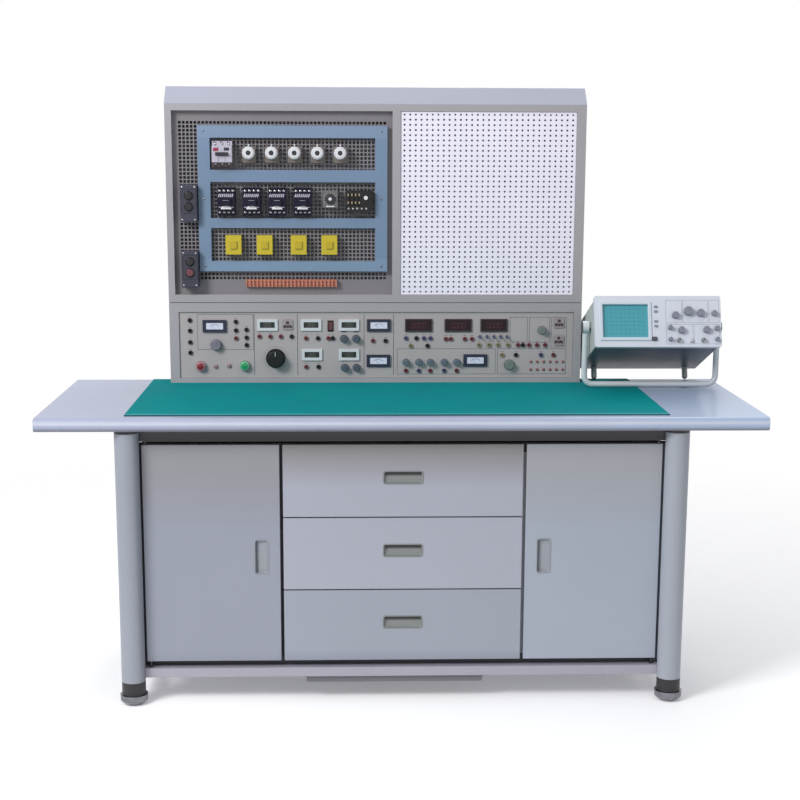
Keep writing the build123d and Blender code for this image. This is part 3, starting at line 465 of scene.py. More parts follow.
class Shape:
    """A mesh under construction, in millimetres of the bench's frame."""

    SHARP_DEGREES = 32
    STROKE_SHARE = 0.82
    DOME_RISE = 0.28
    DOME = ((1, 0), (1, 0.35), (0.86, 0.75), (0.45, 1), (0.4, 0.55), (0, 0.5))

    def __init__(self, place: Optional[Matrix] = None) -> None:
        """Start an empty mesh, in a tilted frame if a place is given."""
        self.mesh = bmesh.new()
        self.place = place or Matrix.Identity(4)

    def corner(self, x: float, y: float, z: float) -> bmesh.types.BMVert:
        """Add one vertex."""
        return self.mesh.verts.new(self.place @ Vector((x, y, z)))

    def loft(self, rings: Sequence[Sequence[Point]], caps: bool = True, closed: bool = False) -> None:
        """Join rings of equally many points by quads.

        Args:
            rings: The rings in turn. A ring of one point makes a fan.
            caps: Close the first and the last ring.
            closed: Join the last ring back to the first.
        """
        rows = [[self.corner(*point) for point in ring] for ring in rings]
        pairs = list(zip(rows, rows[1:]))
        if closed:
            pairs.append((rows[-1], rows[0]))
        for first, second in pairs:
            count = max(len(first), len(second))
            for index in range(count):
                after = (index + 1) % count
                four = [first[index % len(first)], first[after % len(first)],
                        second[after % len(second)], second[index % len(second)]]
                unique = list(dict.fromkeys(four))
                if len(unique) > 2:
                    self.mesh.faces.new(unique)
        if caps and not closed:
            for row in (rows[0], rows[-1]):
                if len(row) > 2:
                    self.mesh.faces.new(row)

    def pad(self, x: float, z: float, width: float, height: float, back: float, front: float,
            radius: float = 0.0, edge: float = 0.0) -> None:
        """Add a plate that faces front, with rounded corners and a chamfered front edge.

        Args:
            x: Its middle.
            z: Its middle.
            width: Size along x.
            height: Size along z.
            back: Its y behind.
            front: Its y in front.
            radius: The corners' radius.
            edge: The chamfer.
        """
        full = rounded_outline(width, height, radius)
        rings = [placed(full, x, back, z), placed(full, x, front + edge, z)]
        if edge:
            inner_radius = max(radius - edge, 0.01 if radius else 0)
            small = rounded_outline(width - 2 * edge, height - 2 * edge, inner_radius)
            rings.append(placed(small, x, front, z))
        self.loft(rings)

    def rim(self, x: float, z: float, outer: Place, inner: Place, back: float, front: float,
            radius: float = 0.0, edge: float = 0.0) -> None:
        """Add a flat frame that faces front.

        Args:
            x: Its middle.
            z: Its middle.
            outer: Its outer width and height.
            inner: Its opening's width and height.
            back: Its y behind.
            front: Its y in front.
            radius: The outer corners' radius.
            edge: The chamfer of its two front edges.
        """
        wall = (outer[0] - inner[0]) / 2
        low = max(radius - wall, 0.3) if radius else 0.0
        loops = (
            (rounded_outline(*outer, radius), back),
            (rounded_outline(*outer, radius), front + edge),
            (rounded_outline(outer[0] - 2 * edge, outer[1] - 2 * edge, radius), front),
            (rounded_outline(inner[0] + 2 * edge, inner[1] + 2 * edge, low), front),
            (rounded_outline(*inner, low), front + edge),
            (rounded_outline(*inner, low), back),
        )
        self.loft([placed(outline, x, y, z) for outline, y in loops], closed=True)

    def turned(self, x: float, z: float, face: float, profile: Iterable[Place], sides: int = 24) -> None:
        """Add a lathe-turned piece whose axis runs front to back.

        Args:
            x: The axis.
            z: The axis.
            face: The y that its depths are counted from.
            profile: Radius and depth of each ring in turn, less than nought in front of the face.
            sides: How many sides it has.
        """
        self.loft([placed(circle(radius, sides), x, face + depth, z) if radius else [(x, face + depth, z)]
                   for radius, depth in profile])

    def ring(self, x: float, z: float, outer: float, inner: float, back: float, front: float,
             edge: float = 0.3, sides: int = 24) -> None:
        """Add a washer-like ring that faces front.

        Args:
            x: Its middle.
            z: Its middle.
            outer: Its outer radius.
            inner: Its bore's radius.
            back: Its y behind.
            front: Its y in front.
            edge: The chamfer of its two front edges.
            sides: How many sides it has.
        """
        loops = ((outer, back), (outer, front + edge), (outer - edge, front),
                 (inner + edge, front), (inner, front + edge), (inner, back))
        self.loft([placed(circle(radius, sides), x, y, z) for radius, y in loops], closed=True)

    def bar(self, start: Place, end: Place, back: float, front: float, width: float) -> None:
        """Add a flat straight line on a front face.

        Args:
            start: Its first x and z.
            end: Its last x and z.
            back: Its y behind.
            front: Its y in front.
            width: The line's width.
        """
        along = Vector((end[0] - start[0], end[1] - start[1]))
        side = Vector((-along.y, along.x)).normalized() * (width / 2)
        outline = [(start[0] + side.x, start[1] + side.y), (start[0] - side.x, start[1] - side.y),
                   (end[0] - side.x, end[1] - side.y), (end[0] + side.x, end[1] + side.y)]
        self.loft([placed(outline, 0, y, 0) for y in (back, front)])

    def ticks(self, x: float, z: float, reach: Place, count: int, turn: float, back: float, front: float,
              width: float) -> None:
        """Add scale marks round a knob or a dial.

        Args:
            x: The centre.
            z: The centre.
            reach: How far from it a mark starts and ends.
            count: How many marks.
            turn: How far the marks go to either side of straight up, in degrees.
            back: Their y behind.
            front: Their y in front.
            width: A mark's width.
        """
        for index in range(count):
            angle = math.radians(-turn + 2 * turn * index / (count - 1))
            away = (math.sin(angle), math.cos(angle))
            start, end = ((x + away[0] * far, z + away[1] * far) for far in reach)
            self.bar(start, end, back, front, width)

    def noughts(self, text: str, x: float, z: float, height: float, back: float, front: float) -> None:
        """Add seven-segment noughts, centred on x and z.

        Args:
            text: The noughts, with a point among them.
            x: The middle.
            z: The middle.
            height: A nought's height.
            back: Their y behind.
            front: Their y in front.
        """
        pitch, stroke = height * 0.72, height * 0.12
        half, low = height / 4, height / 2
        corners = [(-half, low), (half, low), (half, 0), (half, -low), (-half, -low), (-half, 0)]
        at = x - (text.count("0") + 1) * pitch / 2
        for letter in text:
            if letter == ".":
                self.pad(at + pitch / 2, z - low, stroke, stroke, back, front)
                continue
            at += pitch
            for start, end in zip(corners, corners[1:] + corners[:1]):
                ends = (Vector(start), Vector(end))
                middle = (ends[0] + ends[1]) / 2
                first, last = (middle + (point - middle) * self.STROKE_SHARE for point in ends)
                self.bar((at + first.x, z + first.y), (at + last.x, z + last.y), back, front, stroke)

    def screw(self, x: float, z: float, seat: float, diameter: float, way: Facing = Facing.FRONT) -> None:
        """Add a domed screw head with a ring and a cross.

        Args:
            x: Its middle.
            z: Its middle.
            seat: The y of the face that it sits on.
            diameter: The head's diameter.
            way: Which way it faces.
        """
        radius, rise = diameter / 2, diameter * self.DOME_RISE * way.value
        self.turned(x, z, seat, [(radius * wide, rise * high) for wide, high in self.DOME], 16)
        for turn in (45, 135):
            angle = math.radians(turn)
            reach = (radius * 0.38 * math.cos(angle), radius * 0.38 * math.sin(angle))
            start, end = (x - reach[0], z - reach[1]), (x + reach[0], z + reach[1])
            self.bar(start, end, seat + rise * 0.5, seat + rise * 0.75, diameter * 0.12)

    def tube(self, points: Sequence[Point], radius: float, sides: int = 8) -> None:
        """Sweep a round section along a line of points.

        Args:
            points: The line.
            radius: The section's radius.
            sides: How many sides it has.
        """
        path = [Vector(point) for point in points]
        rings = []
        for index, point in enumerate(path):
            ahead = (path[min(index + 1, len(path) - 1)] - path[max(index - 1, 0)]).normalized()
            across = ahead.cross(Vector((0, 0, 1) if abs(ahead.z) < 0.9 else (0, 1, 0))).normalized()
            up = across.cross(ahead)
            rings.append([tuple(point + (across * cosine + up * sine) * radius)
                          for cosine, sine in circle(1, sides)])
        self.loft(rings)

    def finish(self, name: str, look: Look, body: str = "bench", merge: float = 0.0) -> bpy.types.Object:
        """Turn the mesh into an object that rides on a body.

        Args:
            name: The piece's name.
            look: Its finish.
            body: The body that carries it.
            merge: Join vertices closer than this, in millimetres.

        Returns:
            The object.
        """
        if merge:
            bmesh.ops.remove_doubles(self.mesh, verts=self.mesh.verts, dist=merge)
        bmesh.ops.scale(self.mesh, vec=(MM, MM, MM), verts=self.mesh.verts)
        bmesh.ops.recalc_face_normals(self.mesh, faces=self.mesh.faces)
        data = bpy.data.meshes.new(name)
        self.mesh.to_mesh(data)
        self.mesh.free()
        data.shade_smooth()
        data.set_sharp_from_angle(angle=math.radians(self.SHARP_DEGREES))
        made = bpy.data.objects.new(name, data)
        bpy.context.scene.collection.objects.link(made)
        data.materials.append(look.build())
        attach(made, body)
        LOG.info("made %s on %s", name, body)
        return made


def dress(look: Look, *nodes: str) -> None:
    """Give construction nodes their finish.

    Args:
        look: The finish.
        nodes: The nodes' names.
    """
    for node in nodes:
        data = frame["nodes"][node].data
        if not data.materials:
            data.materials.append(look.build())
        for index in range(len(data.materials)):
            data.materials[index] = look.build()
        LOG.info("dressed %s as %s", node, look.name)


@dataclass
class Worktable:
    """The worktop with its mat, the four legs and the base frame."""

    laminate: Finish = Finish("worktop laminate", "worktop_laminate", tone(160, 167, 190), coat=0.15,
                              speck=0.12, grain_scale=1500.0, edge=0.8)
    rubber: Finish = Finish("green rubber mat", "green_mat", tone(0, 137, 138), Gloss.DULL, specular=0.08,
                            mottle=0.3, mottle_scale=9.0, mottle_tone=tone(0, 92, 116), grain=0.6,
                            grain_scale=700.0, edge=0.4)
    leg_paint: Finish = Finish("leg powder coat", "leg_paint", tone(158, 163, 172), mottle=0.06, grain=0.4,
                               grain_scale=500.0, wear=0.3)
    frame_paint: Finish = Finish("frame powder coat", "frame_paint", tone(164, 161, 172), mottle=0.07,
                                 grain=0.4, grain_scale=500.0, wear=0.3)
    fitting: Finish = Finish("black leg fitting", "black_fittings", tone(36, 36, 40), mottle=0.15, grain=0.5)
    # Painted reflection: a dark colour with strong dark mottle stands for the room mirrored in the chrome.
    chrome: Finish = Finish("chromed foot", "chrome_feet", tone(150, 150, 156), Gloss.MIRROR, metallic=1.0,
                            mottle=0.55, mottle_scale=30.0)

    def dress(self) -> None:
        """Give the table's nodes their finishes."""
        top, mat = Extent.of("worktop"), Extent.of("rubber_mat")
        # Painted light: the laminate is lighter and bluer towards its right end.
        lit = Zone(tone(166, 182, 209), x=(400, 1500), soft=350)
        # Painted shade: the lower part of the rounded front edge, turned away from the light, is darker.
        low_edge_shade = Zone(tone(108, 110, 118), z=(top.bottom - 1, top.bottom + 7), soft=5)
        # Painted highlight: a pale band along the upper curve of the rounded front edge.
        nose = Zone(tone(216, 220, 232), y=(top.front - 1, top.front + 4), z=(top.top - 17, top.top - 9),
                    soft=3)
        dress(replace(self.laminate, zones=(lit, low_edge_shade, nose)), "worktop")
        # Painted highlight: a paler strip along the mat's front lip; in front of it lies its painted shadow.
        lip_highlight = Zone(tone(96, 172, 176), y=(mat.front - 1, mat.front + 22), soft=5)
        shadow = Zone(tone(26, 66, 76), y=(mat.front - 1, mat.front + 11), soft=2)
        dress(replace(self.rubber, zones=(lip_highlight, shadow)), "rubber_mat")
        # Painted shade: the left legs are darker, and darker still on their inner side towards the cabinet.
        left_legs_shade = Zone(tone(148, 153, 163), x=(-1000, 0))
        inner_side_shade = Zone(tone(96, 100, 110), x=(-652, -600), soft=14)
        dress(replace(self.leg_paint, zones=(left_legs_shade, inner_side_shade)), "leg_columns")
        # Painted shade: the rails darken under the worktop, darkest lower down, and the frame below the
        # cabinet is darker too.
        under_top_shade = Zone(tone(62, 59, 65), z=(600, 720))
        deep_shade = Zone(tone(40, 38, 42), z=(600, 690), soft=10)
        under_cabinet_shade = Zone(tone(109, 107, 114), z=(40, 64.5))
        rails = replace(self.frame_paint, zones=(under_top_shade, deep_shade, under_cabinet_shade))
        dress(rails, "base_frame", "console_brackets")
        dress(self.fitting, "leg_end_fittings")
        dress(self.chrome, "levelling_feet")


@dataclass(frozen=True)
class PullKind:
    """A kind of flush pull.

    It gives the insert's finish, the pocket's size, the way in which the cup gets deeper, and how
    far behind the cup's mean depth its painted shade starts.
    """

    name: str
    colour: Colour
    size: Place
    deep: Place
    shadow: float


@dataclass
class Cabinet:
    """The cupboard carcass with its doors and drawers."""

    door_pull: PullKind = PullKind("door pull insert", tone(146, 150, 158), (34.0, 88.0), (-1, 0), 2.2)
    door_pull_at: Place = (355.0, 378.0)
    drawer_pull: PullKind = PullKind("drawer pull insert", tone(128, 133, 131), (98.0, 31.0), (0, 1), 0.9)
    drawer_pull_rise: float = 8.0
    pull_rim: float = 2.2
    pull_proud: float = 0.9
    pull_corner: float = 6.0
    insert_gap: float = 0.3
    insert_wall: float = 0.8
    insert_deep: float = 10.0
    insert_shallow: float = 3.5

    panel: Finish = Finish("grey laminated front", "cabinet_board", tone(152, 157, 169), coat=0.08,
                           mottle_scale=2.5, speck=0.06, grain_scale=1500.0, edge=0.8)
    carcass: Finish = Finish("grey laminated board", "cabinet_board", tone(138, 140, 150), Gloss.MATT,
                             mottle=0.08, speck=0.06, grain_scale=1500.0)
    steel: Brushed = Brushed("drawn steel", "bright_steel", tone(176, 178, 184))
    black_steel: Brushed = Brushed("blackened steel", "bright_steel", tone(70, 70, 76))

    def dress(self) -> None:
        """Give the cabinet's nodes their finishes."""
        carcass = Extent.of("cabinet_carcass")
        edges = (carcass.front - 1, carcass.front + 0.5)
        # Painted shade: the carcass's front edges are dark in the narrow gaps; the divider's edge right of
        # the drawers and the right lip are painted lighter, as lit.
        gap_edge_shade = Zone(tone(56, 56, 64), y=edges)
        lit_divider_edge = Zone(tone(196, 198, 208), x=(250, 350), y=edges,
                         z=(carcass.bottom + 25, carcass.top - 25))
        lit_right_lip = Zone(tone(120, 122, 132), x=(644, 700), y=edges)
        dress(replace(self.carcass, zones=(gap_edge_shade, lit_divider_edge, lit_right_lip)), "cabinet_carcass")
        # Painted shade: the fronts darken towards the top under the worktop's overhang, and the top drawer
        # darkens warmly under it.
        left_top_shade = Zone(tone(142, 140, 140), z=(560, 700), soft=110)
        right_top_shade = Zone(tone(158, 158, 159), z=(560, 700), soft=110)
        drawer_top = Extent.of("top_drawer").top
        under = Zone(tone(126, 123, 119), z=(drawer_top - 50, drawer_top + 200), soft=60)
        low = Zone(tone(140, 144, 157), z=(0, Extent.of("bottom_drawer").bottom + 14), soft=14)
        fronts = (
            ("left laminated front", tone(146, 150, 164), (left_top_shade, low), ("left_door",)),
            ("right laminated front", tone(159, 166, 179), (right_top_shade,), ("right_door",)),
            ("pale laminated front", tone(164, 166, 179), (under,), ("middle_drawer", "top_drawer")),
            ("low laminated front", self.panel.colour, (low,), ("bottom_drawer",)),
        )
        for name, colour, zones, nodes in fronts:
            dress(replace(self.panel, name=name, colour=colour, zones=zones), *nodes)
        dress(self.steel, "drawer_runners")
        dress(self.black_steel, "door_hinge_pins")

    def build(self) -> None:
        """Make the flush pulls' inserts."""
        for side, body in ((-1, "left_door"), (1, "right_door")):
            self.pull(body, side * self.door_pull_at[0], self.door_pull_at[1], self.door_pull)
        for body in ("bottom_drawer", "middle_drawer", "top_drawer"):
            self.pull(body, 0.0, Extent.of(body).middle.z + self.drawer_pull_rise, self.drawer_pull)

    def pull(self, body: str, x: float, z: float, kind: PullKind) -> None:
        """Make one pull's insert: a rim on the front and a sloping cup in the pocket.

        Args:
            body: The door or drawer that carries it.
            x: Its middle.
            z: Its middle.
            kind: Which pull it is.
        """
        front = Extent.of(body).front
        face = front - self.pull_proud
        mean = front + (self.insert_deep + self.insert_shallow) / 2
        slope = self.insert_deep - self.insert_shallow
        width, height = (size - 2 * self.insert_gap for size in kind.size)
        corner, wall, rim = self.pull_corner, self.insert_wall, self.pull_rim
        loops = (
            (2 * rim, corner + 1, front - 0.1),
            (2 * rim, corner + 1, face + 0.4),
            (1.2 * rim, corner, face),
            (0.8 - 2 * wall, corner - 0.4, face),
            (-2 * wall, corner - wall, face + 0.6),
        )
        rings = [placed(rounded_outline(width + more, height + more, radius), x, y, z)
                 for more, radius, y in loops]
        deep_x, deep_z = kind.deep
        for less, lift in ((2 * wall + 1, 2.0), (2 * wall + 5, 0.0)):
            outline = rounded_outline(width - less, height - less, corner - wall - 1)
            rings.append([(x + px, mean - lift + slope * (deep_x * px / width + deep_z * pz / height), z + pz)
                          for px, pz in outline])
        shape = Shape()
        shape.loft(rings, caps=False)
        cup_floor = list(shape.mesh.verts)[-len(rings[-1]):]
        shape.mesh.faces.new(cup_floor)
        # Painted shade: the deep part of the cup, under the pocket's lip, is darker.
        dark = Zone(tone(58, 60, 63), y=(mean + kind.shadow, mean + 12), soft=0.6)
        look = Finish(kind.name, "grey_plastic", kind.colour, mottle=0.08, grain=0.4, zones=(dark,))
        shape.finish(body + "_pull_insert", look, body)


@dataclass
class Console:
    """The console's case: shell, hood, back, frame and brackets."""

    back_screws: int = 7
    back_screw: float = 7.0
    screw_inset: Place = (20.0, 9.0)
    middle_drop: float = 150.0
    brackets: tuple[float, ...] = (-360.0, 0.0, 360.0)
    bolt_aside: float = 18.0
    bolt_drops: Place = (22.0, 52.0)
    bolt: Profile = ((6.4, 5), (6.4, 9), (5.6, 9.8), (0, 9.8))

    paint: Finish = Finish("console powder coat", "console_paint", tone(163, 160, 164), mottle=0.06,
                           mottle_scale=5.0, grain=0.4, grain_scale=500.0, wear=0.25)
    # Painted reflection: the hood is bluer than the case, for the light from above that its upward slope
    # reflects.
    hood_paint: Finish = Finish("hood powder coat", "hood_paint", tone(164, 166, 181), mottle_scale=5.0,
                                grain=0.4, grain_scale=500.0, wear=0.25)
    inlet: Finish = Finish("black inlet plastic", "dark_plastic", tone(30, 30, 33), grain=0.4)

    def dress(self) -> None:
        """Give the case's nodes their finishes."""
        dress(self.paint, "console_shell", "console_back", "front_frame")
        dress(self.hood_paint, "console_hood")
        dress(self.inlet, "mains_inlet")

    def build(self) -> None:
        """Make the back's screws and the brackets' bolts."""
        back, worktop = Extent.of("console_back"), Extent.of("worktop")
        aside, up = self.screw_inset
        heights = (back.bottom + up, back.top - up, (back.bottom + back.top) / 2 - self.middle_drop)
        screws, bolts = Shape(), Shape()
        for index in range(self.back_screws):
            x = back.left + aside + (back.size.x - 2 * aside) * index / (self.back_screws - 1)
            for z in heights:
                screws.screw(x, z, back.back, self.back_screw, Facing.BACK)
        screws.finish("back_panel_screws", ZINC)
        bracket_bottom = Extent.of("console_brackets").bottom
        for x in self.brackets:
            for side in (-1, 1):
                for z in (worktop.top - drop for drop in self.bolt_drops):
                    if z > bracket_bottom:
                        bolts.turned(x + side * self.bolt_aside, z, worktop.back, self.bolt, 6)
        bolts.finish("bracket_bolts", ZINC)


@dataclass
class Bays:
    """The mesh panel, the perforated board and the blue device frame."""

    lip: float = 8.0
    mesh_pitch: float = 10.5
    mesh_hole: float = 7.2
    mesh_columns: int = 54
    mesh_rows: int = 41
    mesh_left: float = 17.0
    mesh_bottom: float = 41.0
    board_pitch: Place = (15.3, 13.7)
    board_hole: float = 2.8
    screw_inset: Place = (16.0, 14.0)
    rail: float = 34.0

    mesh_paint: Finish = Finish("mesh powder coat", "mesh_paint", tone(127, 123, 128), mottle=0.08, edge=0.3)
    board_paint: Finish = Finish("white board paint", "white_board", tone(240, 236, 249), mottle=0.03,
                                 edge=0.3)
    blue_paint: Finish = Finish("blue frame paint", "blue_paint", tone(113, 135, 161), mottle=0.06, grain=0.4,
                                grain_scale=500.0, wear=0.3)

    def dress(self) -> None:
        """Give the blue frame its paint."""
        blue = Extent.of("blue_frame")
        # Painted light: the frame's top and bottom rails are lighter than its sides.
        rails = (Zone(tone(121, 141, 167), z=(blue.top - self.rail, blue.top + 1)),
                 Zone(tone(120, 143, 169), z=(blue.bottom - 1, blue.bottom + self.rail)))
        dress(replace(self.blue_paint, zones=rails), "blue_frame")

    def build(self) -> None:
        """Make both pierced sheets and the frame's screws."""
        self.mesh_panel()
        self.perforated_board()
        blue = Extent.of("blue_frame")
        aside, up = self.screw_inset
        screws = Shape()
        for x in (blue.left + aside, blue.right - aside):
            for z in (blue.bottom + up, blue.middle.z, blue.top - up):
                screws.screw(x, z, blue.front, diameter=6.0)
        screws.finish("blue_frame_screws", ZINC.like("dull screw", tone(120, 122, 130)))

    def mesh_panel(self) -> None:
        """Make the sheet with square holes."""
        sheet = Extent.of("mesh_panel")
        first_x = sheet.left + self.lip + self.mesh_left
        first_z = sheet.bottom + self.lip + self.mesh_bottom
        xs, zs = [sheet.left], [sheet.bottom]
        for column in range(self.mesh_columns):
            left = first_x + column * self.mesh_pitch
            xs += [left, left + self.mesh_hole]
        for row in range(self.mesh_rows):
            low = first_z + row * self.mesh_pitch
            zs += [low, low + self.mesh_hole]
        xs.append(sheet.right)
        zs.append(sheet.top)
        shape = Shape()
        grids = [[[shape.corner(x, y, z) for z in zs] for x in xs] for y in (sheet.front, sheet.back)]
        last_x, last_z = len(xs) - 1, len(zs) - 1

        def wall(a: int, b: int, c: int, d: int) -> None:
            """Join the front and the back face between two places of the grid."""
            front, back = grids
            shape.mesh.faces.new((front[a][b], front[c][d], back[c][d], back[a][b]))

        for i in range(last_x):
            for j in range(last_z):
                hole = i % 2 == 1 and j % 2 == 1
                if not hole:
                    for grid in grids:
                        shape.mesh.faces.new((grid[i][j], grid[i + 1][j], grid[i + 1][j + 1], grid[i][j + 1]))
                    continue
                loop = ((i, j), (i + 1, j), (i + 1, j + 1), (i, j + 1))
                for start, end in zip(loop, loop[1:] + loop[:1]):
                    wall(*start, *end)
        for i in range(last_x):
            for j in (0, last_z):
                wall(i, j, i + 1, j)
        for j in range(last_z):
            for i in (0, last_x):
                wall(i, j, i, j + 1)
        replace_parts(shape.finish("square_hole_panel", self.mesh_paint), "mesh_panel")

    def perforated_board(self) -> None:
        """Make the white board with round holes."""
        board = Extent.of("perforated_board")
        pitch_x, pitch_z = self.board_pitch
        columns, rows = int(board.size.x // pitch_x), int(board.size.z // pitch_z)
        left = board.middle.x - columns * pitch_x / 2
        low = board.middle.z - rows * pitch_z / 2
        thirds = (-3, -1, 1)
        square = [(pitch_x * k / 6, -pitch_z / 2) for k in thirds]
        square += [(pitch_x / 2, pitch_z * k / 6) for k in thirds]
        square += [(-px, -pz) for px, pz in square]
        angles = [math.atan2(pz, px) for px, pz in square]
        hole = [(self.board_hole * math.cos(angle), self.board_hole * math.sin(angle)) for angle in angles]
        loops = ((square, board.front), (hole, board.front), (hole, board.back), (square, board.back))
        shape = Shape()
        for column in range(columns):
            for row in range(rows):
                x = left + (column + 0.5) * pitch_x
                z = low + (row + 0.5) * pitch_z
                shape.loft([placed(loop, x, y, z) for loop, y in loops], caps=False)
        right, top = left + columns * pitch_x, low + rows * pitch_z
        for y in (board.front, board.back):
            self.margin(shape, board, y, (left, right, low, top), (columns * 3, rows * 3))
        outline = ((board.left, board.bottom), (board.right, board.bottom),
                   (board.right, board.top), (board.left, board.top))
        shape.loft([placed(outline, 0, y, 0) for y in (board.front, board.back)], caps=False)
        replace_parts(shape.finish("round_hole_board", self.board_paint, merge=0.01), "perforated_board")

    @staticmethod
    def margin(shape: Shape, board: Extent, y: float, inner: Sequence[float], steps: tuple[int, int]) -> None:
        """Close the plain margin round the field of holes.

        Args:
            shape: The board's mesh.
            board: The board's box.
            y: The face's y.
            inner: The field's left, right, bottom and top.
            steps: How many steps the field's edge has along x and z.
        """
        left, right, low, top = inner
        along = [left + (right - left) * k / steps[0] for k in range(steps[0] + 1)]
        up = [low + (top - low) * k / steps[1] for k in range(steps[1] + 1)]
        loop = [(x, low) for x in along] + [(right, z) for z in up[1:]]
        loop += [(x, top) for x in along[-2::-1]] + [(left, z) for z in up[-2:0:-1]]
        wide = [(board.left + (board.right - board.left) * (x - left) / (right - left),
                 board.bottom + (board.top - board.bottom) * (z - low) / (top - low)) for x, z in loop]
        first, second = ([shape.corner(x, y, z) for x, z in line] for line in (loop, wide))
        for index in range(len(loop)):
            after = (index + 1) % len(loop)
            shape.mesh.faces.new((first[index], first[after], second[after], second[index]))


@dataclass
class Devices:
    """The relays, contactors and button stations on the mesh panel."""

    lip: float = 8.0
    breaker: Place = (137.0, 381.0)
    breaker_depths: Place = (30.0, 48.0)
    breaker_pitch: float = 18.0
    breaker_screw_reach: float = 26.0
    fuse_first: float = 208.0
    fuse_pitch: float = 62.0
    fuse_count: int = 5
    fuse_z: float = 384.0
    fuse_base_depth: float = 22.0
    fuse_cap_length: float = 22.0
    fuse_socket: Profile = ((6.3, 0.5), (6.3, 5.2), (2.6, 5.2), (2.2, 2.5), (0, 2.2))
    fuse_rib: Profile = ((0.9, 5), (1.2, 6), (1.2, 18), (0.9, 19))
    fuse_ribs: int = 12
    fuse_rib_reach: float = 16.9
    fuse_pin: Profile = ((2.6, 2), (2.6, -6), (1.6, -8), (0, -8))
    fuse_pin_rise: float = 21.0
    contactor_first: float = 146.0
    contactor_pitch: float = 69.0
    contactor_count: int = 4
    contactor_z: float = 254.0
    contactor_depths: tuple[float, float, float] = (30.0, 46.0, 56.0)
    terminals: int = 4
    terminal_pitch: float = 12.0
    terminal_reach: float = 28.5
    streaks: int = 8
    streak_first: float = -19.0
    streak_pitch: float = 5.2
    label: Place = (14.5, 10.0)
    label_drop: float = 20.0
    timer: Place = (428.0, 262.0)
    timer_depth: float = 42.0
    timer_cap: Profile = ((4.4, 1.2), (4.4, -0.6), (3.6, -1.2), (0, -1.2))
    overload: Place = (506.0, 256.0)
    overload_knob: Place = (525.0, 265.0)
    overload_depth: float = 36.0
    overload_screws: int = 5
    overload_first: Place = (-28.0, -20.0)
    overload_pitch: float = 12.0
    overload_marks: int = 4
    mark_first: float = -29.0
    mark_pitch: float = 10.0
    mark_rows: Places = ((17, 7), (-4, 6))
    overload_turn: Profile = ((5.6, 0.2), (5.6, -4.6), (4.8, -5.6), (0, -5.6))
    yellow_depths: Place = (30.0, 34.0)
    strip: Place = (320.0, 31.0)
    strip_length: float = 250.0
    strip_ribs: int = 25
    strip_depth: float = 10.0
    strip_screw_reach: float = 4.6
    station_x: float = 44.0
    stations: Place = (249.0, 71.0)
    station_offsets: Place = (21.0, -9.0)
    station_screws: Place = (17.0, 44.0)
    lid_rise: float = 6.0
    lid_line: tuple[Place, Place] = ((41.0, 66.0), (38.6, 63.6))
    collar_radii: Place = (13.2, 10.3)
    station_depth: float = 38.0

    white: Finish = Finish("white device plastic", "white_plastic", tone(226, 226, 228), Gloss.GLOSSY,
                           grain=0.3)
    black: Finish = Finish("black device plastic", "dark_plastic", tone(34, 34, 42), mottle=0.12, grain=0.5)
    red: Finish = Finish("red device plastic", "red_plastic", tone(150, 40, 70), Gloss.GLOSSY, mottle=0.08)
    porcelain: Finish = Finish("fuse holder porcelain", "white_plastic", tone(210, 210, 215), Gloss.GLOSSY,
                               mottle=0.04)
    relay: Finish = Finish("relay housing plastic", "grey_plastic", tone(110, 108, 108), specular=0.3,
                           mottle=0.08, grain=0.4)
    yellow_cover: Finish = Finish("yellow relay cover", "yellow_plastic", tone(198, 178, 42), Gloss.GLOSSY,
                                  mottle=0.06)
    orange: Finish = Finish("orange strip plastic", "orange_plastic", tone(204, 132, 110), mottle=0.08,
                            grain=0.4)
    station: Finish = Finish("dark station plastic", "dark_plastic", tone(50, 50, 66), mottle=0.1, grain=0.6)
    dark_button: Finish = Finish("black button", "black_plastic", tone(26, 26, 30), Gloss.GLOSSY, mottle=0.08)
    red_button: Finish = Finish("red button", "red_plastic", tone(110, 58, 68), Gloss.GLOSSY, mottle=0.08)

    def __post_init__(self) -> None:
        """Read the bay's corner and the panel's face from the frame."""
        sheet = Extent.of("mesh_panel")
        self.left = sheet.left + self.lip
        self.bottom = sheet.bottom + self.lip
        self.wall = sheet.front

    def at(self, place: Place) -> Place:
        """A place in the bay as x and z of the whole bench."""
        return self.left + place[0], self.bottom + place[1]

    def dress(self) -> None:
        """Give the devices' nodes their finishes."""
        _, breaker_z = self.at(self.breaker)
        feet = Zone(tone(92, 70, 76), z=(breaker_z - 35, breaker_z - 22.2))
        breaker = self.white.like("breaker plastic", tone(186, 182, 196))
        dress(replace(breaker, zones=(feet,)), "breaker_body")
        dress(self.black, "breaker_lever", "timer_dial")
        contactor = self.black.like("navy device plastic", tone(16, 11, 38))
        dress(replace(contactor, specular=0.25), "contactors")
        bases = Zone(tone(112, 102, 96), y=(self.wall - self.fuse_base_depth - 0.2, self.wall + 1))
        dress(replace(self.porcelain, zones=(bases,)), "fuse_holders")
        overload_x, _ = self.at(self.overload)
        thermal = Zone(tone(26, 25, 27), x=(overload_x - 40, overload_x + 40))
        dress(replace(self.relay, zones=(thermal,)), "relay_bodies")
        low, high = self.yellow_depths
        bosses = Zone(tone(188, 166, 34), y=(self.wall - high - 1, self.wall - low - 0.3))
        dress(replace(self.yellow_cover, zones=(bosses,)), "yellow_relays")
        dress(self.orange, "terminal_strip")
        dress(self.station, "station_housings")
        dress(self.dark_button, "upper_start_button", "upper_stop_button", "lower_start_button")
        dress(self.red_button, "lower_stop_button")

    def build(self) -> None:
        """Make the small pieces on the devices."""
        self.build_breaker()
        self.build_fuses()
        self.build_contactors()
        self.build_relays()
        self.build_strip()
        self.build_stations()

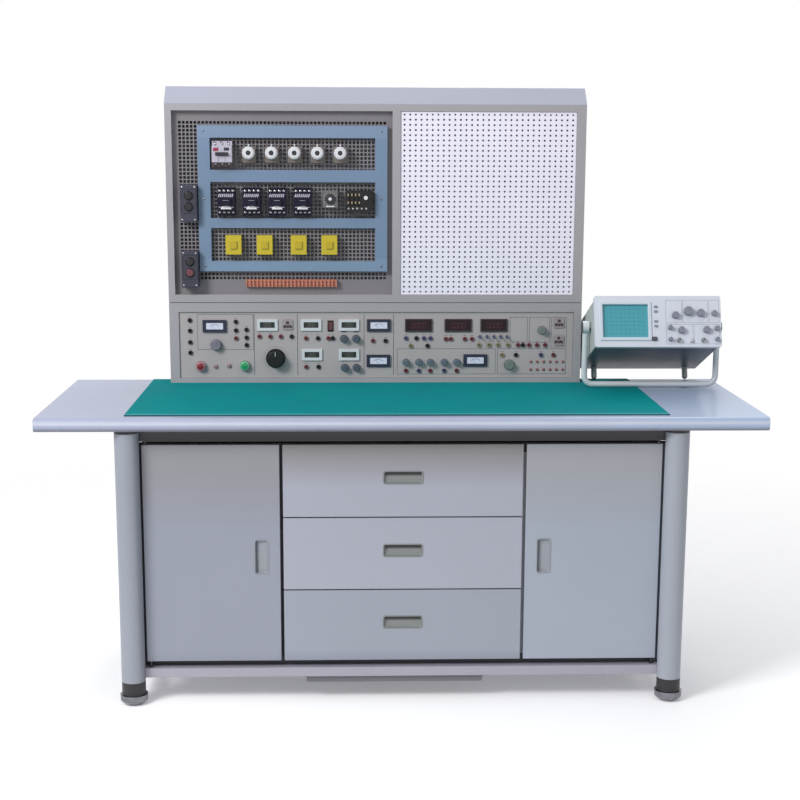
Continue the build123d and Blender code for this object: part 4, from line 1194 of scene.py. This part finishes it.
    def build_breaker(self) -> None:
        """Make the breaker's screws, its mark and its pole lines."""
        x, z = self.at(self.breaker)
        step, nose = (self.wall - depth for depth in self.breaker_depths)
        screws, mark, lines = Shape(), Shape(), Shape()
        for pole in (-1, 0, 1):
            for side in (-1, 1):
                screw_z = z + side * self.breaker_screw_reach
                screws.screw(x + pole * self.breaker_pitch, screw_z, step, diameter=6.5)
        screws.finish("breaker_screws", ZINC)
        mark.pad(x - 16, z + 12, 14, 9, *seated(nose, 0.4), radius=1.0, edge=0.2)
        mark.finish("breaker_mark", self.red)
        for pole in (-0.5, 0.5):
            line_x = x + pole * self.breaker_pitch
            for low, high in ((-21, -9), (9, 21)):
                lines.bar((line_x, z + low), (line_x, z + high), *seated(nose, 0.15), width=0.7)
        lines.pad(x + 13, z + 13, 14, 8, *seated(nose, 0.3), radius=0.8, edge=0.1)
        lines.finish("breaker_window", self.black)

    def build_fuses(self) -> None:
        """Make the fuse caps' sockets, ribs and test pins."""
        base = self.wall - self.fuse_base_depth
        front = base - self.fuse_cap_length
        sockets, collars = Shape(), Shape()
        for index in range(self.fuse_count):
            x, z = self.at((self.fuse_first + index * self.fuse_pitch, self.fuse_z))
            sockets.turned(x, z, front, self.fuse_socket, 20)
            for rib_x, rib_z in circle(self.fuse_rib_reach, self.fuse_ribs):
                collars.turned(x + rib_x, z + rib_z, front, self.fuse_rib, 8)
            collars.ring(x, z, 10.5, 7.2, *seated(front, 0.8, 0.3), edge=0.4)
            collars.turned(x, z + self.fuse_pin_rise, base, self.fuse_pin, 12)
        sockets.finish("fuse_sockets", self.black)
        collars.finish("fuse_cap_ribs", self.white)

    def build_contactors(self) -> None:
        """Make the contactors' terminals, labels, pale marks and slanted ribs; the ribs' pale colour is
        painted highlight.
        """
        first, second, third = (self.wall - depth for depth in self.contactor_depths)
        screws, labels, bars = Shape(), Shape(), Shape()
        angles = [math.pi * step / 12 for step in range(13)]
        label_x, label_z = self.label
        arch = [(label_x * math.cos(angle), label_z * math.sin(angle)) for angle in angles]
        layers = ((1.0, second + 0.2), (1.0, second - 0.9), (0.9, second - 1.3))
        for index in range(self.contactor_count):
            x, z = self.at((self.contactor_first + index * self.contactor_pitch, self.contactor_z))
            for column in range(self.terminals):
                screw_x = x + (column - (self.terminals - 1) / 2) * self.terminal_pitch
                for side in (-1, 1):
                    screws.screw(screw_x, z + side * self.terminal_reach, first, diameter=7.5)
            # Painted highlight: the slanted ribs are pale, for the light along them.
            for column in range(self.streaks):
                foot = x + self.streak_first + column * self.streak_pitch
                bars.bar((foot - 1.4, z + 12.5), (foot + 1.8, z + 21), *seated(second, 0.8), width=3.0)
            labels.loft([placed([(px * share, pz * share) for px, pz in arch], x, y, z - self.label_drop)
                         for share, y in layers])
            bars.pad(x, z - 14.5, 40, 2.2, *seated(second, 0.6), radius=0.8, edge=0.2)
            bars.bar((x - 8, z + 4), (x + 8, z + 4), *seated(third, 0.2), width=0.8)
        screws.finish("contactor_screws", ZINC)
        labels.finish("contactor_labels", self.white)
        bars.finish("contactor_marks_and_rib_highlights", self.white.like("pale device plastic", tone(186, 184, 196)))

    def build_relays(self) -> None:
        """Make the timer's scale and the thermal relay's screws and knob."""
        x, z = self.at(self.timer)
        face, over = self.wall - self.timer_depth, self.wall - self.overload_depth
        scale, screws, marks, cap = Shape(), Shape(), Shape(), Shape()
        scale.ticks(x, z, (15.5, 18.0), 11, 150, *seated(face, 0.25), width=0.8)
        scale.pad(x, z - 20, 22, 3.0, *seated(face, 0.3), radius=0.5)
        scale.turned(*self.at(self.overload_knob), over, self.overload_turn, 20)
        scale.finish("relay_scale_marks", self.white)
        over_x, over_z = self.at(self.overload)
        first_x, first_z = self.overload_first
        for column in range(self.overload_screws):
            screw_x = over_x + first_x + column * self.overload_pitch
            screws.screw(screw_x, over_z + first_z, over, diameter=6.0)
        screws.finish("thermal_relay_screws", ZINC)
        for row, high in self.mark_rows:
            for column in range(self.overload_marks):
                mark_x = over_x + self.mark_first + column * self.mark_pitch
                marks.pad(mark_x, over_z + row, 3.2, high, *seated(over, 0.5), radius=0.6, edge=0.1)
        marks.finish("thermal_relay_marks", self.white.like("beige plastic", tone(176, 158, 130)))
        cap.turned(x, z, Extent.of("timer_dial").front, self.timer_cap, 20)
        cap.finish("timer_dial_cap", self.white, "timer_dial")

    def build_strip(self) -> None:
        """Make the terminal strip's screws."""
        x, z = self.at(self.strip)
        count = self.strip_ribs - 1
        pitch = (self.strip_length - 2) / count
        seat = self.wall - self.strip_depth
        screws = Shape()
        for index in range(count):
            for side in (-1, 1):
                screw_x = x + (index - (count - 1) / 2) * pitch
                screws.screw(screw_x, z + side * self.strip_screw_reach, seat, diameter=4.4)
        screws.finish("terminal_screws", self.orange)

    def build_stations(self) -> None:
        """Make the stations' lids, screws and button collars."""
        front = self.wall - self.station_depth
        collars, screws = Shape(), Shape()
        aside, up = self.station_screws
        for station_z in self.stations:
            x, z = self.at((self.station_x, station_z))
            collars.rim(x, z + self.lid_rise, *self.lid_line, *seated(front, 0.6, 0.3), radius=4.0, edge=0.3)
            for offset in self.station_offsets:
                collars.ring(x, z + offset, *self.collar_radii, *seated(front, 3.0, 0.3), edge=0.7)
            for dx in (-aside, aside):
                for dz in (-up, up):
                    screws.screw(x + dx, z + dz, front, diameter=5.0)
        collars.finish("station_collars", self.dark_button)
        screws.finish("station_screws", ZINC)


@dataclass
class Fascia:
    """The control fascia with its instruments, sockets and knobs, placed from its lower left corner."""

    gap: float = 0.5
    line: float = 1.1
    line_inset: Place = (8.0, 6.0)
    recess: float = 2.0
    glass_gap: float = 0.6
    analog: Places = ((98, 145), (553, 147), (552, 48), (823, 49))
    analog_window: Place = (48.0, 19.0)
    analog_proud: float = 5.0
    needle_drop: float = 12.0
    digital: Places = ((244, 148), (365, 148), (470, 148), (367, 65), (470, 65))
    digital_window: Place = (41.0, 16.0)
    digital_height: float = 9.5
    displays: Places = ((664, 147), (774, 147), (874, 147))
    display_window: Place = (68.0, 28.0)
    display_height: float = 15.0
    digital_proud: float = 4.0
    black_jacks: Places = (
        (30, 161), (30, 132), (30, 100), (30, 71), (157, 157), (157, 133), (186, 135), (186, 113),
        (186, 92), (311, 116), (384, 111), (385, 31), (425, 111), (572, 104), (658, 111), (689, 90),
        (937, 64), (956, 92),
    )
    red_jacks: Places = (
        (157, 111), (222, 116), (252, 116), (281, 116), (351, 111), (351, 31), (413, 111), (537, 104),
        (740, 109), (754, 109), (793, 109), (813, 109), (942, 92), (973, 92), (995, 92), (1018, 92),
        (1042, 64), (629, 20), (697, 20), (771, 20),
    )
    amber_jacks: Places = ((833, 92), (861, 92), (886, 92), (914, 92), (642, 90), (898, 64))
    blue_jacks: Places = ((629, 111), (679, 111), (697, 111), (1007, 64), (665, 20), (736, 20))
    jack_radius: float = 5.5
    jack_bore: float = 2.1
    jack_proud: float = 4.0
    dash_rise: float = 9.5
    dividers: tuple[float, ...] = (207.0, 327.0, 512.0, 594.0)
    outlines: tuple[tuple[float, float, float, float], ...] = (
        (50, 205, 79, 178), (919, 968, 99, 170), (973, 1030, 99, 170), (1034, 1078, 86, 170),
        (885, 1078, 10, 82), (604, 880, 10, 82),
    )
    slots: Places = ((456, 129), (490, 129), (458, 48), (491, 48))
    small_knobs: Places = ((629, 44), (665, 44), (697, 44), (736, 44), (771, 44))
    variac: Place = (266.0, 55.0)
    variac_radius: float = 27.0
    range_knob: Place = (102.0, 93.0)
    buttons: Places = ((58, 34), (180, 35))
    button_collar: Place = (16.5, 13.4)
    button_cap: Profile = ((9.6, 0.4), (9.6, -0.3), (8.6, -0.9), (0, -1.1))
    outlets: Places = ((300, 149), (1056, 154), (1056, 106))
    outlet_half: float = 15.0
    outlet_proud: float = 3.0
    throat_rise: float = 5.5
    throat_aside: float = 8.5
    rocker: Place = (419.0, 145.0)
    rocker_rim: tuple[Place, Place] = ((17.0, 31.0), (12.6, 26.6))
    toggles: Places = ((835, 116), (855, 116), (874, 116), (893, 116), (911, 116))
    nut_radii: Place = (6.6, 4.1)

    sheet: Finish = Finish("fascia sheet", "fascia_sheet", tone(174, 167, 168), mottle=0.06, mottle_scale=9.0,
                           grain=0.2)
    ink: Finish = Finish("fascia ink", "dark_plastic", tone(88, 88, 94), Gloss.MATT)
    navy: Finish = Finish("navy meter frame", "meter_plastic", tone(26, 30, 54), mottle=0.08)
    card: Finish = Finish("meter card", "white_plastic", tone(216, 218, 236), Gloss.GLOSSY,
                          coat=0.6, mottle=0.02)
    meter: Finish = Finish("digital meter frame", "white_plastic", tone(206, 209, 213), Gloss.GLOSSY,
                           mottle=0.04)
    lcd: Finish = Finish("dark display glass", "meter_plastic", tone(44, 48, 46), Gloss.GLOSSY, specular=0.3)
    led: Finish = Finish("maroon display glass", "meter_plastic", tone(34, 14, 24), Gloss.GLOSSY,
                         specular=0.25)
    segment: Finish = Finish("display figures", "dark_plastic", tone(104, 108, 98), Gloss.GLOSSY)
    lit: Finish = Finish("lit figures", "lamp_lens", tone(74, 26, 36), Gloss.GLOSSY)
    lens: Finish = Finish("signal lens", "lamp_lens", tone(138, 84, 84), Gloss.GLOSSY, coat=0.5)
    black: Finish = Finish("black knob plastic", "black_plastic", tone(20, 21, 24), Gloss.GLOSSY,
                           specular=0.35, mottle=0.1, grain=0.3)
    red: Finish = Finish("red socket plastic", "red_plastic", tone(106, 50, 56), Gloss.GLOSSY, mottle=0.08)
    amber: Finish = Finish("amber socket plastic", "orange_plastic", tone(130, 122, 90), Gloss.GLOSSY,
                           mottle=0.08)
    blue: Finish = Finish("blue socket plastic", "blue_paint", tone(68, 70, 106), Gloss.GLOSSY, mottle=0.08)
    knob: Finish = Finish("blue-grey knob plastic", "grey_plastic", tone(74, 84, 96), mottle=0.1, grain=0.4)
    white: Finish = Finish("white instrument plastic", "white_plastic", tone(224, 226, 228), Gloss.GLOSSY,
                           mottle=0.04)
    red_ring: Finish = Finish("pink button ring", "red_plastic", tone(178, 128, 136), Gloss.GLOSSY)
    green_ring: Finish = Finish("pale green button ring", "green_plastic", tone(110, 180, 144), Gloss.GLOSSY)
    red_cap: Finish = Finish("maroon push button", "red_plastic", tone(126, 34, 48), Gloss.GLOSSY,
                             mottle=0.06)
    green_cap: Finish = Finish("green push button", "green_plastic", tone(36, 146, 92), Gloss.GLOSSY,
                               mottle=0.06)

    def __post_init__(self) -> None:
        """Read the fascia's corner and face from the frame."""
        plate = Extent.of("fascia_plate")
        self.left = plate.left - self.gap
        self.right = plate.right + self.gap
        self.bottom = plate.bottom - self.gap
        self.face = plate.front
        self.height = plate.top + self.gap - self.bottom

    def at(self, place: Place) -> Place:
        """A place on the fascia as x and z of the whole bench."""
        return self.left + place[0], self.bottom + place[1]

    def dress(self) -> None:
        """Give the fascia's nodes their finishes."""
        dress(self.sheet, "fascia_plate")
        dress(self.navy, "analog_meters")
        display_frames = Zone(tone(36, 24, 32), x=(self.left + 600, self.right))
        dress(replace(self.meter, zones=(display_frames,)), "digital_meters")
        dress(self.black, "variac_knob", "autotransformer")
        dress(self.red.like("maroon rocker plastic", tone(88, 44, 50)), "power_rocker")
        fronts = (self.face - self.outlet_proud - 0.1, self.face - self.outlet_proud + 0.4)
        plates = []
        for place in map(self.at, self.outlets):
            x_span, z_span = ((at - self.outlet_half, at + self.outlet_half) for at in place)
            plates.append(Zone(tone(158, 150, 152), x_span, fronts, z_span))
        dress(replace(self.black, name="socket plastic", zones=tuple(plates)), "panel_sockets")
        left_lamps = Zone(tone(150, 120, 124), x=(self.left, self.left + 140))
        dress(replace(self.lens, zones=(left_lamps,)), "indicator_lamps")
        right_knobs = Zone(tone(112, 122, 120), x=(self.left + 850, self.right))
        small_knob = self.knob.like("small knob plastic", tone(92, 104, 116))
        dress(replace(small_knob, zones=(right_knobs,)), "small_knobs")
        dress(self.knob, "supply_knob_1", "supply_knob_2", "supply_knob_3", "supply_knob_4")
        dress(self.knob.like("grey range knob", tone(120, 118, 130)), "range_knob")
        dress(self.blue, "toggle_switches")
        dress(self.red_ring, "red_button")
        dress(self.green_ring, "green_button")

    def build(self) -> None:
        """Make the printed lines, the instruments' faces, the sockets, the buttons and the marks."""
        self.build_lines()
        self.build_meters()
        self.build_displays("digital", self.digital, self.digital_window, "00.0", self.digital_height,
                            (self.lcd, self.segment))
        self.build_displays("display", self.displays, self.display_window, "0.000", self.display_height,
                            (self.led, self.lit))
        self.build_jacks()
        self.build_marks()
        self.build_buttons()
        self.build_outlets()

    def build_lines(self) -> None:
        """Make the printed lines that part the fascia."""
        lines = Shape()
        flat = seated(self.face, 0.12, 0.1)
        low, high = self.bottom + self.line_inset[0], self.bottom + self.height - self.line_inset[1]
        for across in self.dividers:
            lines.bar((self.left + across, low), (self.left + across, high), *flat, width=1.5 * self.line)
        for left, right, bottom, top in self.outlines:
            x, z = self.at(((left + right) / 2, (bottom + top) / 2))
            outer = (right - left, top - bottom)
            lines.rim(x, z, outer, (outer[0] - 2 * self.line, outer[1] - 2 * self.line), *flat)
        lines.finish("fascia_lines", self.ink)

    def glass(self, shape: Shape, place: Place, window: Place, face: float, proud: float) -> None:
        """Add a glass or a card that fills an instrument's window.

        Args:
            shape: The mesh that gets it.
            place: The window's middle on the fascia.
            window: The window's width and height.
            face: The y of the window's floor.
            proud: How far it stands out of that floor.
        """
        width, height = (size - self.glass_gap for size in window)
        shape.pad(*self.at(place), width, height, *seated(face, proud, 0.1), radius=0.5, edge=0.1)

    def build_meters(self) -> None:
        """Make the pointer meters' cards, scales and needles."""
        floor = self.face - self.analog_proud + self.recess
        cards, scales = Shape(), Shape()
        back, front = floor - 0.35, floor - 0.6
        for place in self.analog:
            self.glass(cards, place, self.analog_window, floor, 0.4)
            x, z = self.at(place)
            pivot = z - self.needle_drop
            scales.ticks(x, pivot, (15.5, 18.5), 11, 50, back, front, width=0.5)
            scales.ticks(x, pivot, (15.5, 16.4), 51, 50, back, front, width=0.35)
            scales.bar((x, pivot + 4), (x - 9, pivot + 15), back, front - 0.3, width=0.5)
        cards.finish("meter_cards", self.card)
        scales.finish("meter_scales", self.navy.like("scale ink", tone(112, 116, 148)))

    def build_displays(self, kind: str, places: Places, window: Place, text: str, height: float,
                       looks: tuple[Finish, Finish]) -> None:
        """Make the glasses and figures of one kind of digital display.

        Args:
            kind: The kind's name.
            places: The windows' middles.
            window: A window's width and height.
            text: What it shows.
            height: A figure's height.
            looks: The finishes of the glasses and of the figures.
        """
        floor = self.face - self.digital_proud + self.recess
        panes, figures = Shape(), Shape()
        for place in places:
            self.glass(panes, place, window, floor, 0.5)
            figures.noughts(text, *self.at(place), height, floor - 0.45, floor - 0.65)
        panes.finish(kind + "_glasses", looks[0])
        figures.finish(kind + "_figures", looks[1])

    def build_jacks(self) -> None:
        """Make the sockets' coloured insulating caps and the dashes above them."""
        groups = (
            ("black", self.black_jacks, self.black), ("red", self.red_jacks, self.red),
            ("amber", self.amber_jacks, self.amber), ("blue", self.blue_jacks, self.blue),
        )
        dashes = Shape()
        cap_front = self.face - self.jack_proud - 0.6
        for kind, places, look in groups:
            caps = Shape()
            for x, z in map(self.at, places):
                dash_z = z + self.dash_rise
                dashes.bar((x - 3.5, dash_z), (x + 3.5, dash_z), *seated(self.face, 0.12, 0.1), width=1.4)
                caps.ring(x, z, self.jack_radius + 0.7, self.jack_bore, self.face - 0.05, cap_front, 0.6, 20)
            caps.finish(kind + "_socket_caps", look)
        dashes.finish("socket_dashes", self.ink.like("pale ink", tone(112, 110, 118)))

    def build_marks(self) -> None:
        """Make the knobs' scales and the large knob's pointer."""
        flat = seated(self.face, 0.15, 0.1)
        marks, dials, pointer = Shape(), Shape(), Shape()
        x, z = self.at(self.variac)
        marks.ticks(x, z, (self.variac_radius + 3, self.variac_radius + 8), 26, 140, *flat, width=0.8)
        marks.ticks(*self.at(self.range_knob), (18, 21), 8, 120, *flat, width=0.8)
        for place in self.small_knobs:
            dials.ticks(*self.at(place), (12.5, 17.5), 11, 130, *flat, width=1.4)
        dials.finish("decade_scales", self.white.like("pale scale ink", tone(184, 190, 198)))
        for place in self.slots:
            marks.pad(*self.at(place), 14, 3.4, *seated(self.face, 0.45, 0.1), radius=0.6)
        marks.finish("scale_marks", self.ink)
        pointer.bar((x, z + 9), (x, z + 20), *seated(Extent.of("variac_knob").front, 0.15, 0.5), width=1.4)
        pointer.finish("variac_pointer", self.white, "variac_knob")

    def build_buttons(self) -> None:
        """Make the two large buttons' caps and collars."""
        kinds = (("red_button", self.red_cap), ("green_button", self.green_cap))
        for place, (body, look) in zip(self.buttons, kinds):
            x, z = self.at(place)
            cap, collar = Shape(), Shape()
            cap.turned(x, z, Extent.of(body).front, self.button_cap, 32)
            cap.finish(body + "_cap", look, body)
            collar.ring(x, z, *self.button_collar, *seated(self.face, 3.2, 0.1), edge=0.8, sides=32)
            collar.finish(body + "_collar", self.sheet)

    def build_outlets(self) -> None:
        """Make the dark pads in the outlets' throats, which are painted shade, the rocker's frame and the
        toggles' nuts.
        """
        throats, rocker, nuts = Shape(), Shape(), Shape()
        mouth = seated(self.face - self.outlet_proud, 0.3, 0.1)
        # Painted shade: dark pads over the outlets' holes stand for the shade inside them.
        for x, z in map(self.at, self.outlets):
            throats.pad(x, z + self.throat_rise, 9.0, 8.0, *mouth, radius=2.0, edge=0.1)
            for dx in (-self.throat_aside, 0, self.throat_aside):
                throats.pad(x + dx, z - self.throat_rise, 6.6, 8.0, *mouth, radius=1.5, edge=0.1)
        throats.finish("socket_throats", self.black.like("painted socket hole shade", tone(70, 54, 60)))
        flat = seated(self.face, 1.6, 0.1)
        rocker.rim(*self.at(self.rocker), *self.rocker_rim, *flat, radius=1.5, edge=0.4)
        rocker.finish("rocker_frame", self.black)
        for place in self.toggles:
            nuts.ring(*self.at(place), *self.nut_radii, self.face - 0.05, self.face - 2.2, edge=0.4, sides=6)
        nuts.finish("toggle_nuts", ZINC)


@dataclass
class Oscilloscope:
    """The oscilloscope beside the console, in its own tilted frame, placed from its lower left corner."""

    width: float = 341.0
    height: float = 140.0
    screen: Place = (122.0, 90.0)
    screen_corner: Place = (22.0, 26.0)
    screen_recess: float = 5.0
    surround_wall: float = 9.0
    divisions: tuple[int, int] = (10, 8)
    line_halves: Place = (56.0, 40.0)
    time_knob: Place = (252.0, 97.0)
    knobs: tuple[tuple[float, float, float], ...] = (
        (217, 86, 18), (285, 92, 20), (322, 91, 15), (202, 52, 12), (232, 45, 18), (300, 46, 18),
        (328, 50, 13), (252, 97, 24),
    )
    groups: tuple[tuple[float, float, float, float], ...] = (
        (192, 236, 66, 128), (238, 306, 66, 128), (309, 336, 66, 128), (192, 264, 8, 62), (267, 336, 8, 62),
    )
    group_line: float = 0.6
    inputs: Places = ((226, 18), (292, 18))
    connector: Profile = ((7.5, 0.2), (7.5, -1.5), (5.2, -1.6), (5.2, -9), (4.6, -9.6), (3.6, -9.6),
                          (3.6, -3), (1, -3), (1, -8), (0, -8.2))
    ground_post: Place = (260.0, 16.0)
    post: Profile = ((5, 0.2), (5, -4), (3.2, -5), (0, -5))
    louvres: int = 14
    louvre_first: float = 150.0
    louvre_pitch: float = 9.0
    louvre_radius: float = 1.3
    louvre_inset: float = 3.0
    side_louvre: tuple[float, ...] = (40, 42, 98, 100)
    top_louvre: tuple[float, ...] = (90, 92, 250, 252)
    handle_reach: float = 19.0
    pivot_cap: Profile = ((15.5, 0.2), (15.5, -1.6), (13.5, -2.6), (6, -2.6), (5.2, -1.4), (0, -1.4))

    # Painted shade: faces of the case that point down are a dark slate.
    shell: Finish = Finish("scope shell paint", "scope_shell", tone(184, 192, 188), mottle=0.06, grain=0.5,
                           grain_scale=500.0, wear=0.2, under=tone(69, 80, 95))
    face: Finish = Finish("scope front plastic", "scope_front", tone(213, 217, 227), mottle=0.04, grain=0.2)
    knob: Finish = Finish("scope knob plastic", "scope_front", tone(132, 134, 150), mottle=0.08, grain=0.3)
    ink: Finish = Finish("scope ink", "dark_plastic", tone(120, 122, 142), Gloss.MATT)
    dark: Finish = Finish("scope dark plastic", "dark_plastic", tone(70, 72, 84))
    tube: Finish = Finish("scope screen glass", "tube_glass", tone(52, 157, 171), Gloss.MIRROR, coat=0.5,
                          mottle=0.03)
    graticule: Finish = Finish("scope graticule", "tube_glass", tone(56, 134, 146), Gloss.GLOSSY)
    handle: Finish = Finish("handle coat", "handle_coat", tone(206, 212, 216), grain=0.3, wear=0.2)
    nickel: Brushed = Brushed("nickel connector", "bright_steel", tone(158, 160, 164))

    def __post_init__(self) -> None:
        """Read the scope's tilted frame from its joints."""
        joints = {joint["name"]: joint for joint in frame["joints"]}
        axis = joints["scope_power_press"]["axis"]
        turn = Matrix.Rotation(math.atan2(axis[2], axis[1]), 4, "X")
        knob = Vector(joints["scope_time_knob_turn"]["pos_m"]) / MM
        origin = knob - turn @ Vector((self.time_knob[0] - self.width / 2, 0, self.time_knob[1]))
        self.place = Matrix.Translation(origin) @ turn @ Matrix.Translation((-self.width / 2, 0, 0))
        self.pivot = Vector(joints["scope_handle_swing"]["pos_m"]) / MM

    def dress(self) -> None:
        """Give the scope's nodes their finishes."""
        dress(self.shell, "scope_case")
        dress(self.face, "scope_bezel")
        dress(self.knob, "scope_controls", "scope_time_knob")
        dress(self.tube, "scope_tube")
        dress(self.dark, "scope_power_button")
        dress(self.handle, "scope_handle")

    def build(self) -> None:
        """Make the small pieces on the scope."""
        self.build_screen()
        self.build_panel()
        self.build_louvres()
        self.build_hubs()

    def build_screen(self) -> None:
        """Make the screen's frame and graticule."""
        (width, height), (left, low) = self.screen, self.screen_corner
        x, z = left + width / 2, low + height / 2
        surround, grid = Shape(self.place), Shape(self.place)
        outer = (width + 2 * self.surround_wall, height + 2 * self.surround_wall)
        surround.rim(x, z, outer, self.screen, *seated(0, 3.5), radius=5.0, edge=1.2)
        surround.finish("screen_surround", self.face.like("screen frame plastic", tone(206, 216, 226)))
        back, front = seated(self.screen_recess, 0.2)
        columns, rows = self.divisions
        half_x, half_z = self.line_halves
        for index in range(1, columns):
            at = left + width * index / columns
            grid.bar((at, z - half_z), (at, z + half_z), back, front, width=0.5)
        for index in range(1, rows):
            at = low + height * index / rows
            grid.bar((x - half_x, at), (x + half_x, at), back, front, width=0.5)
        grid.finish("screen_graticule", self.graticule)

    def build_panel(self) -> None:
        """Make the front's printed lines and its connectors."""
        lines, inputs = Shape(self.place), Shape(self.place)
        flat = seated(0, 0.15, 0.1)
        for left, right, bottom, top in self.groups:
            outer = (right - left, top - bottom)
            inner = (outer[0] - 2 * self.group_line, outer[1] - 2 * self.group_line)
            lines.rim((left + right) / 2, (bottom + top) / 2, outer, inner, *flat)
        for x, z, diameter in self.knobs:
            lines.ticks(x, z, (diameter / 2 + 2, diameter / 2 + 4), 9, 135, *flat, width=0.7)
        lines.finish("scope_panel_lines", self.ink)
        for place in self.inputs:
            inputs.turned(*place, 0, self.connector)
        inputs.turned(*self.ground_post, 0, self.post, 16)
        inputs.finish("input_connectors", self.nickel)

    def build_louvres(self) -> None:
        """Make the pressed louvres on the case's sides and top."""
        shape = Shape(self.place)
        radius, inset = self.louvre_radius, self.louvre_inset
        depths = [self.louvre_first + index * self.louvre_pitch for index in range(self.louvres)]
        for x in (inset, self.width - inset):
            for y in depths:
                shape.tube([(x, y, z) for z in self.side_louvre], radius)
        for y in depths:
            shape.tube([(x, y, self.height - inset) for x in self.top_louvre], radius)
        shape.finish("case_louvres", self.shell)

    def build_hubs(self) -> None:
        """Make the caps over the handle's pivots."""
        reach = self.width / 2 + self.handle_reach
        for side, word in ((-1, "left"), (1, "right")):
            middle = Matrix.Translation(self.pivot + Vector((side * reach, 0, 0)))
            cap = Shape(middle @ Matrix.Rotation(math.radians(90 * side), 4, "Z"))
            cap.turned(0, 0, 0, self.pivot_cap, 32)
            cap.finish(word + "_pivot_cap", self.dark, "scope_handle")


@dataclass(frozen=True)
class Light:
    """One soft square light: where it stands, its edge in metres and its power in watts."""

    name: str
    stand: Point
    size: float
    power: float

    def build(self, target: Vector) -> None:
        """Place the light so that it looks at a target.

        Args:
            target: The place that it looks at.
        """
        data = bpy.data.lights.new(self.name, "AREA")
        data.size = self.size
        data.energy = self.power
        lamp = bpy.data.objects.new(self.name, data)
        bpy.context.scene.collection.objects.link(lamp)
        lamp.location = Vector(self.stand)
        lamp.rotation_mode = "QUATERNION"
        lamp.rotation_quaternion = (target - lamp.location).to_track_quat("-Z", "Y")


@dataclass
class Studio:
    """The camera, the lights, the floor and the white surroundings."""

    lens: float = 69.91
    sensor: float = 36.0
    pitch: float = 11.383
    roll: float = 0.2158
    yaw: float = -1.9463
    stand: Point = (-0.13697, -4.10625, 1.38765)
    shift: float = 0.075
    ambient: float = 0.36
    ambient_tone: Colour = (0.93, 0.95, 1.0)
    floor_size: float = 20.0
    floor_tones: tuple[Colour, Colour] = ((0.97, 0.97, 0.98), (0.94, 0.94, 0.95))
    floor_fade: Place = (1.2, 3.0)
    floor_glow: float = 0.2
    aim: Point = (0.0, 0.0, 0.8)
    lights: tuple[Light, ...] = (
        Light("key", (-2.9, -2.9, 3.3), 1.5, 168.0),
        Light("fill", (3.2, -3.6, 2.2), 2.6, 14.0),
        Light("top", (0.0, -0.6, 4.2), 3.2, 26.0),
        Light("back", (0.9, 3.1, 4.3), 2.4, 70.0),
    )

    def build(self) -> None:
        """Make everything that isn't part of the bench."""
        self.build_camera()
        self.build_world()
        self.build_floor()
        for light in self.lights:
            light.build(Vector(self.aim))

    def build_camera(self) -> None:
        """Place the camera as the photograph's one."""
        yaw, pitch, roll = (math.radians(angle) for angle in (self.yaw, self.pitch, self.roll))
        level = Vector((math.cos(yaw), math.sin(yaw), 0))
        ahead = Vector((-math.sin(yaw), math.cos(yaw), 0))
        up = Vector((0, 0, 1))
        forward = ahead * math.cos(pitch) - up * math.sin(pitch)
        upright = ahead * math.sin(pitch) + up * math.cos(pitch)
        right = level * math.cos(roll) + upright * math.sin(roll)
        top = upright * math.cos(roll) - level * math.sin(roll)
        data = bpy.data.cameras.new("camera")
        data.lens = self.lens
        data.sensor_width = self.sensor
        data.shift_y = self.shift
        data.clip_end = 100.0
        camera = bpy.data.objects.new("camera", data)
        bpy.context.scene.collection.objects.link(camera)
        axes = Matrix((right, top, -forward)).transposed().to_4x4()
        camera.matrix_world = Matrix.Translation(Vector(self.stand)) @ axes
        bpy.context.scene.camera = camera

    def build_world(self) -> None:
        """Make the world plain for the bench, and white for the camera and in reflections."""
        world = bpy.data.worlds.new("studio")
        bpy.context.scene.world = world
        tree = Tree(world)
        plain, white = (tree.node("ShaderNodeBackground", values={"Color": colour, "Strength": strength})
                        for colour, strength in ((self.ambient_tone, self.ambient), ((1.0, 1.0, 1.0), 1.0)))
        seen, glossy, through = (tree.node("ShaderNodeLightPath", output=f"Is {kind} Ray")
                                 for kind in ("Camera", "Glossy", "Transmission"))
        shown = seen.at_least(glossy).at_least(through)
        mixed = tree.node("ShaderNodeMixShader", values={0: shown, 1: plain, 2: white})
        tree.end(mixed, "ShaderNodeOutputWorld")

    def build_floor(self) -> None:
        """Make the pale floor, which fades out away from the bench."""
        mesh = bmesh.new()
        bmesh.ops.create_grid(mesh, x_segments=1, y_segments=1, size=self.floor_size)
        data = bpy.data.meshes.new("floor")
        mesh.to_mesh(data)
        mesh.free()
        floor = bpy.data.objects.new("floor", data)
        bpy.context.scene.collection.objects.link(floor)
        material = bpy.data.materials.new("pale floor")
        tree = Tree(material)
        where = tree.node("ShaderNodeTexCoord", output="Object")
        colour = tree.mix(*self.floor_tones, tree.noise(where, 0.7))
        away = tree.node("ShaderNodeVectorMath", {"operation": "LENGTH"}, {0: where}, "Value")
        tree.surface({"Base Color": colour, "Roughness": 0.7, "Alpha": 1 - away.ramp(*self.floor_fade),
                      "Emission Color": colour, "Emission Strength": self.floor_glow})
        data.materials.append(material)


def main() -> None:
    logging.basicConfig(level=logging.INFO, format="%(message)s")
    bpy.context.scene.view_settings.view_transform = "Standard"
    Studio().build()
    Worktable().dress()
    for assembly in (Cabinet(), Console(), Bays(), Devices(), Fascia(), Oscilloscope()):
        assembly.dress()
        assembly.build()
        LOG.info("finished %s", type(assembly).__name__)


if __name__ == "__main__":
    main()
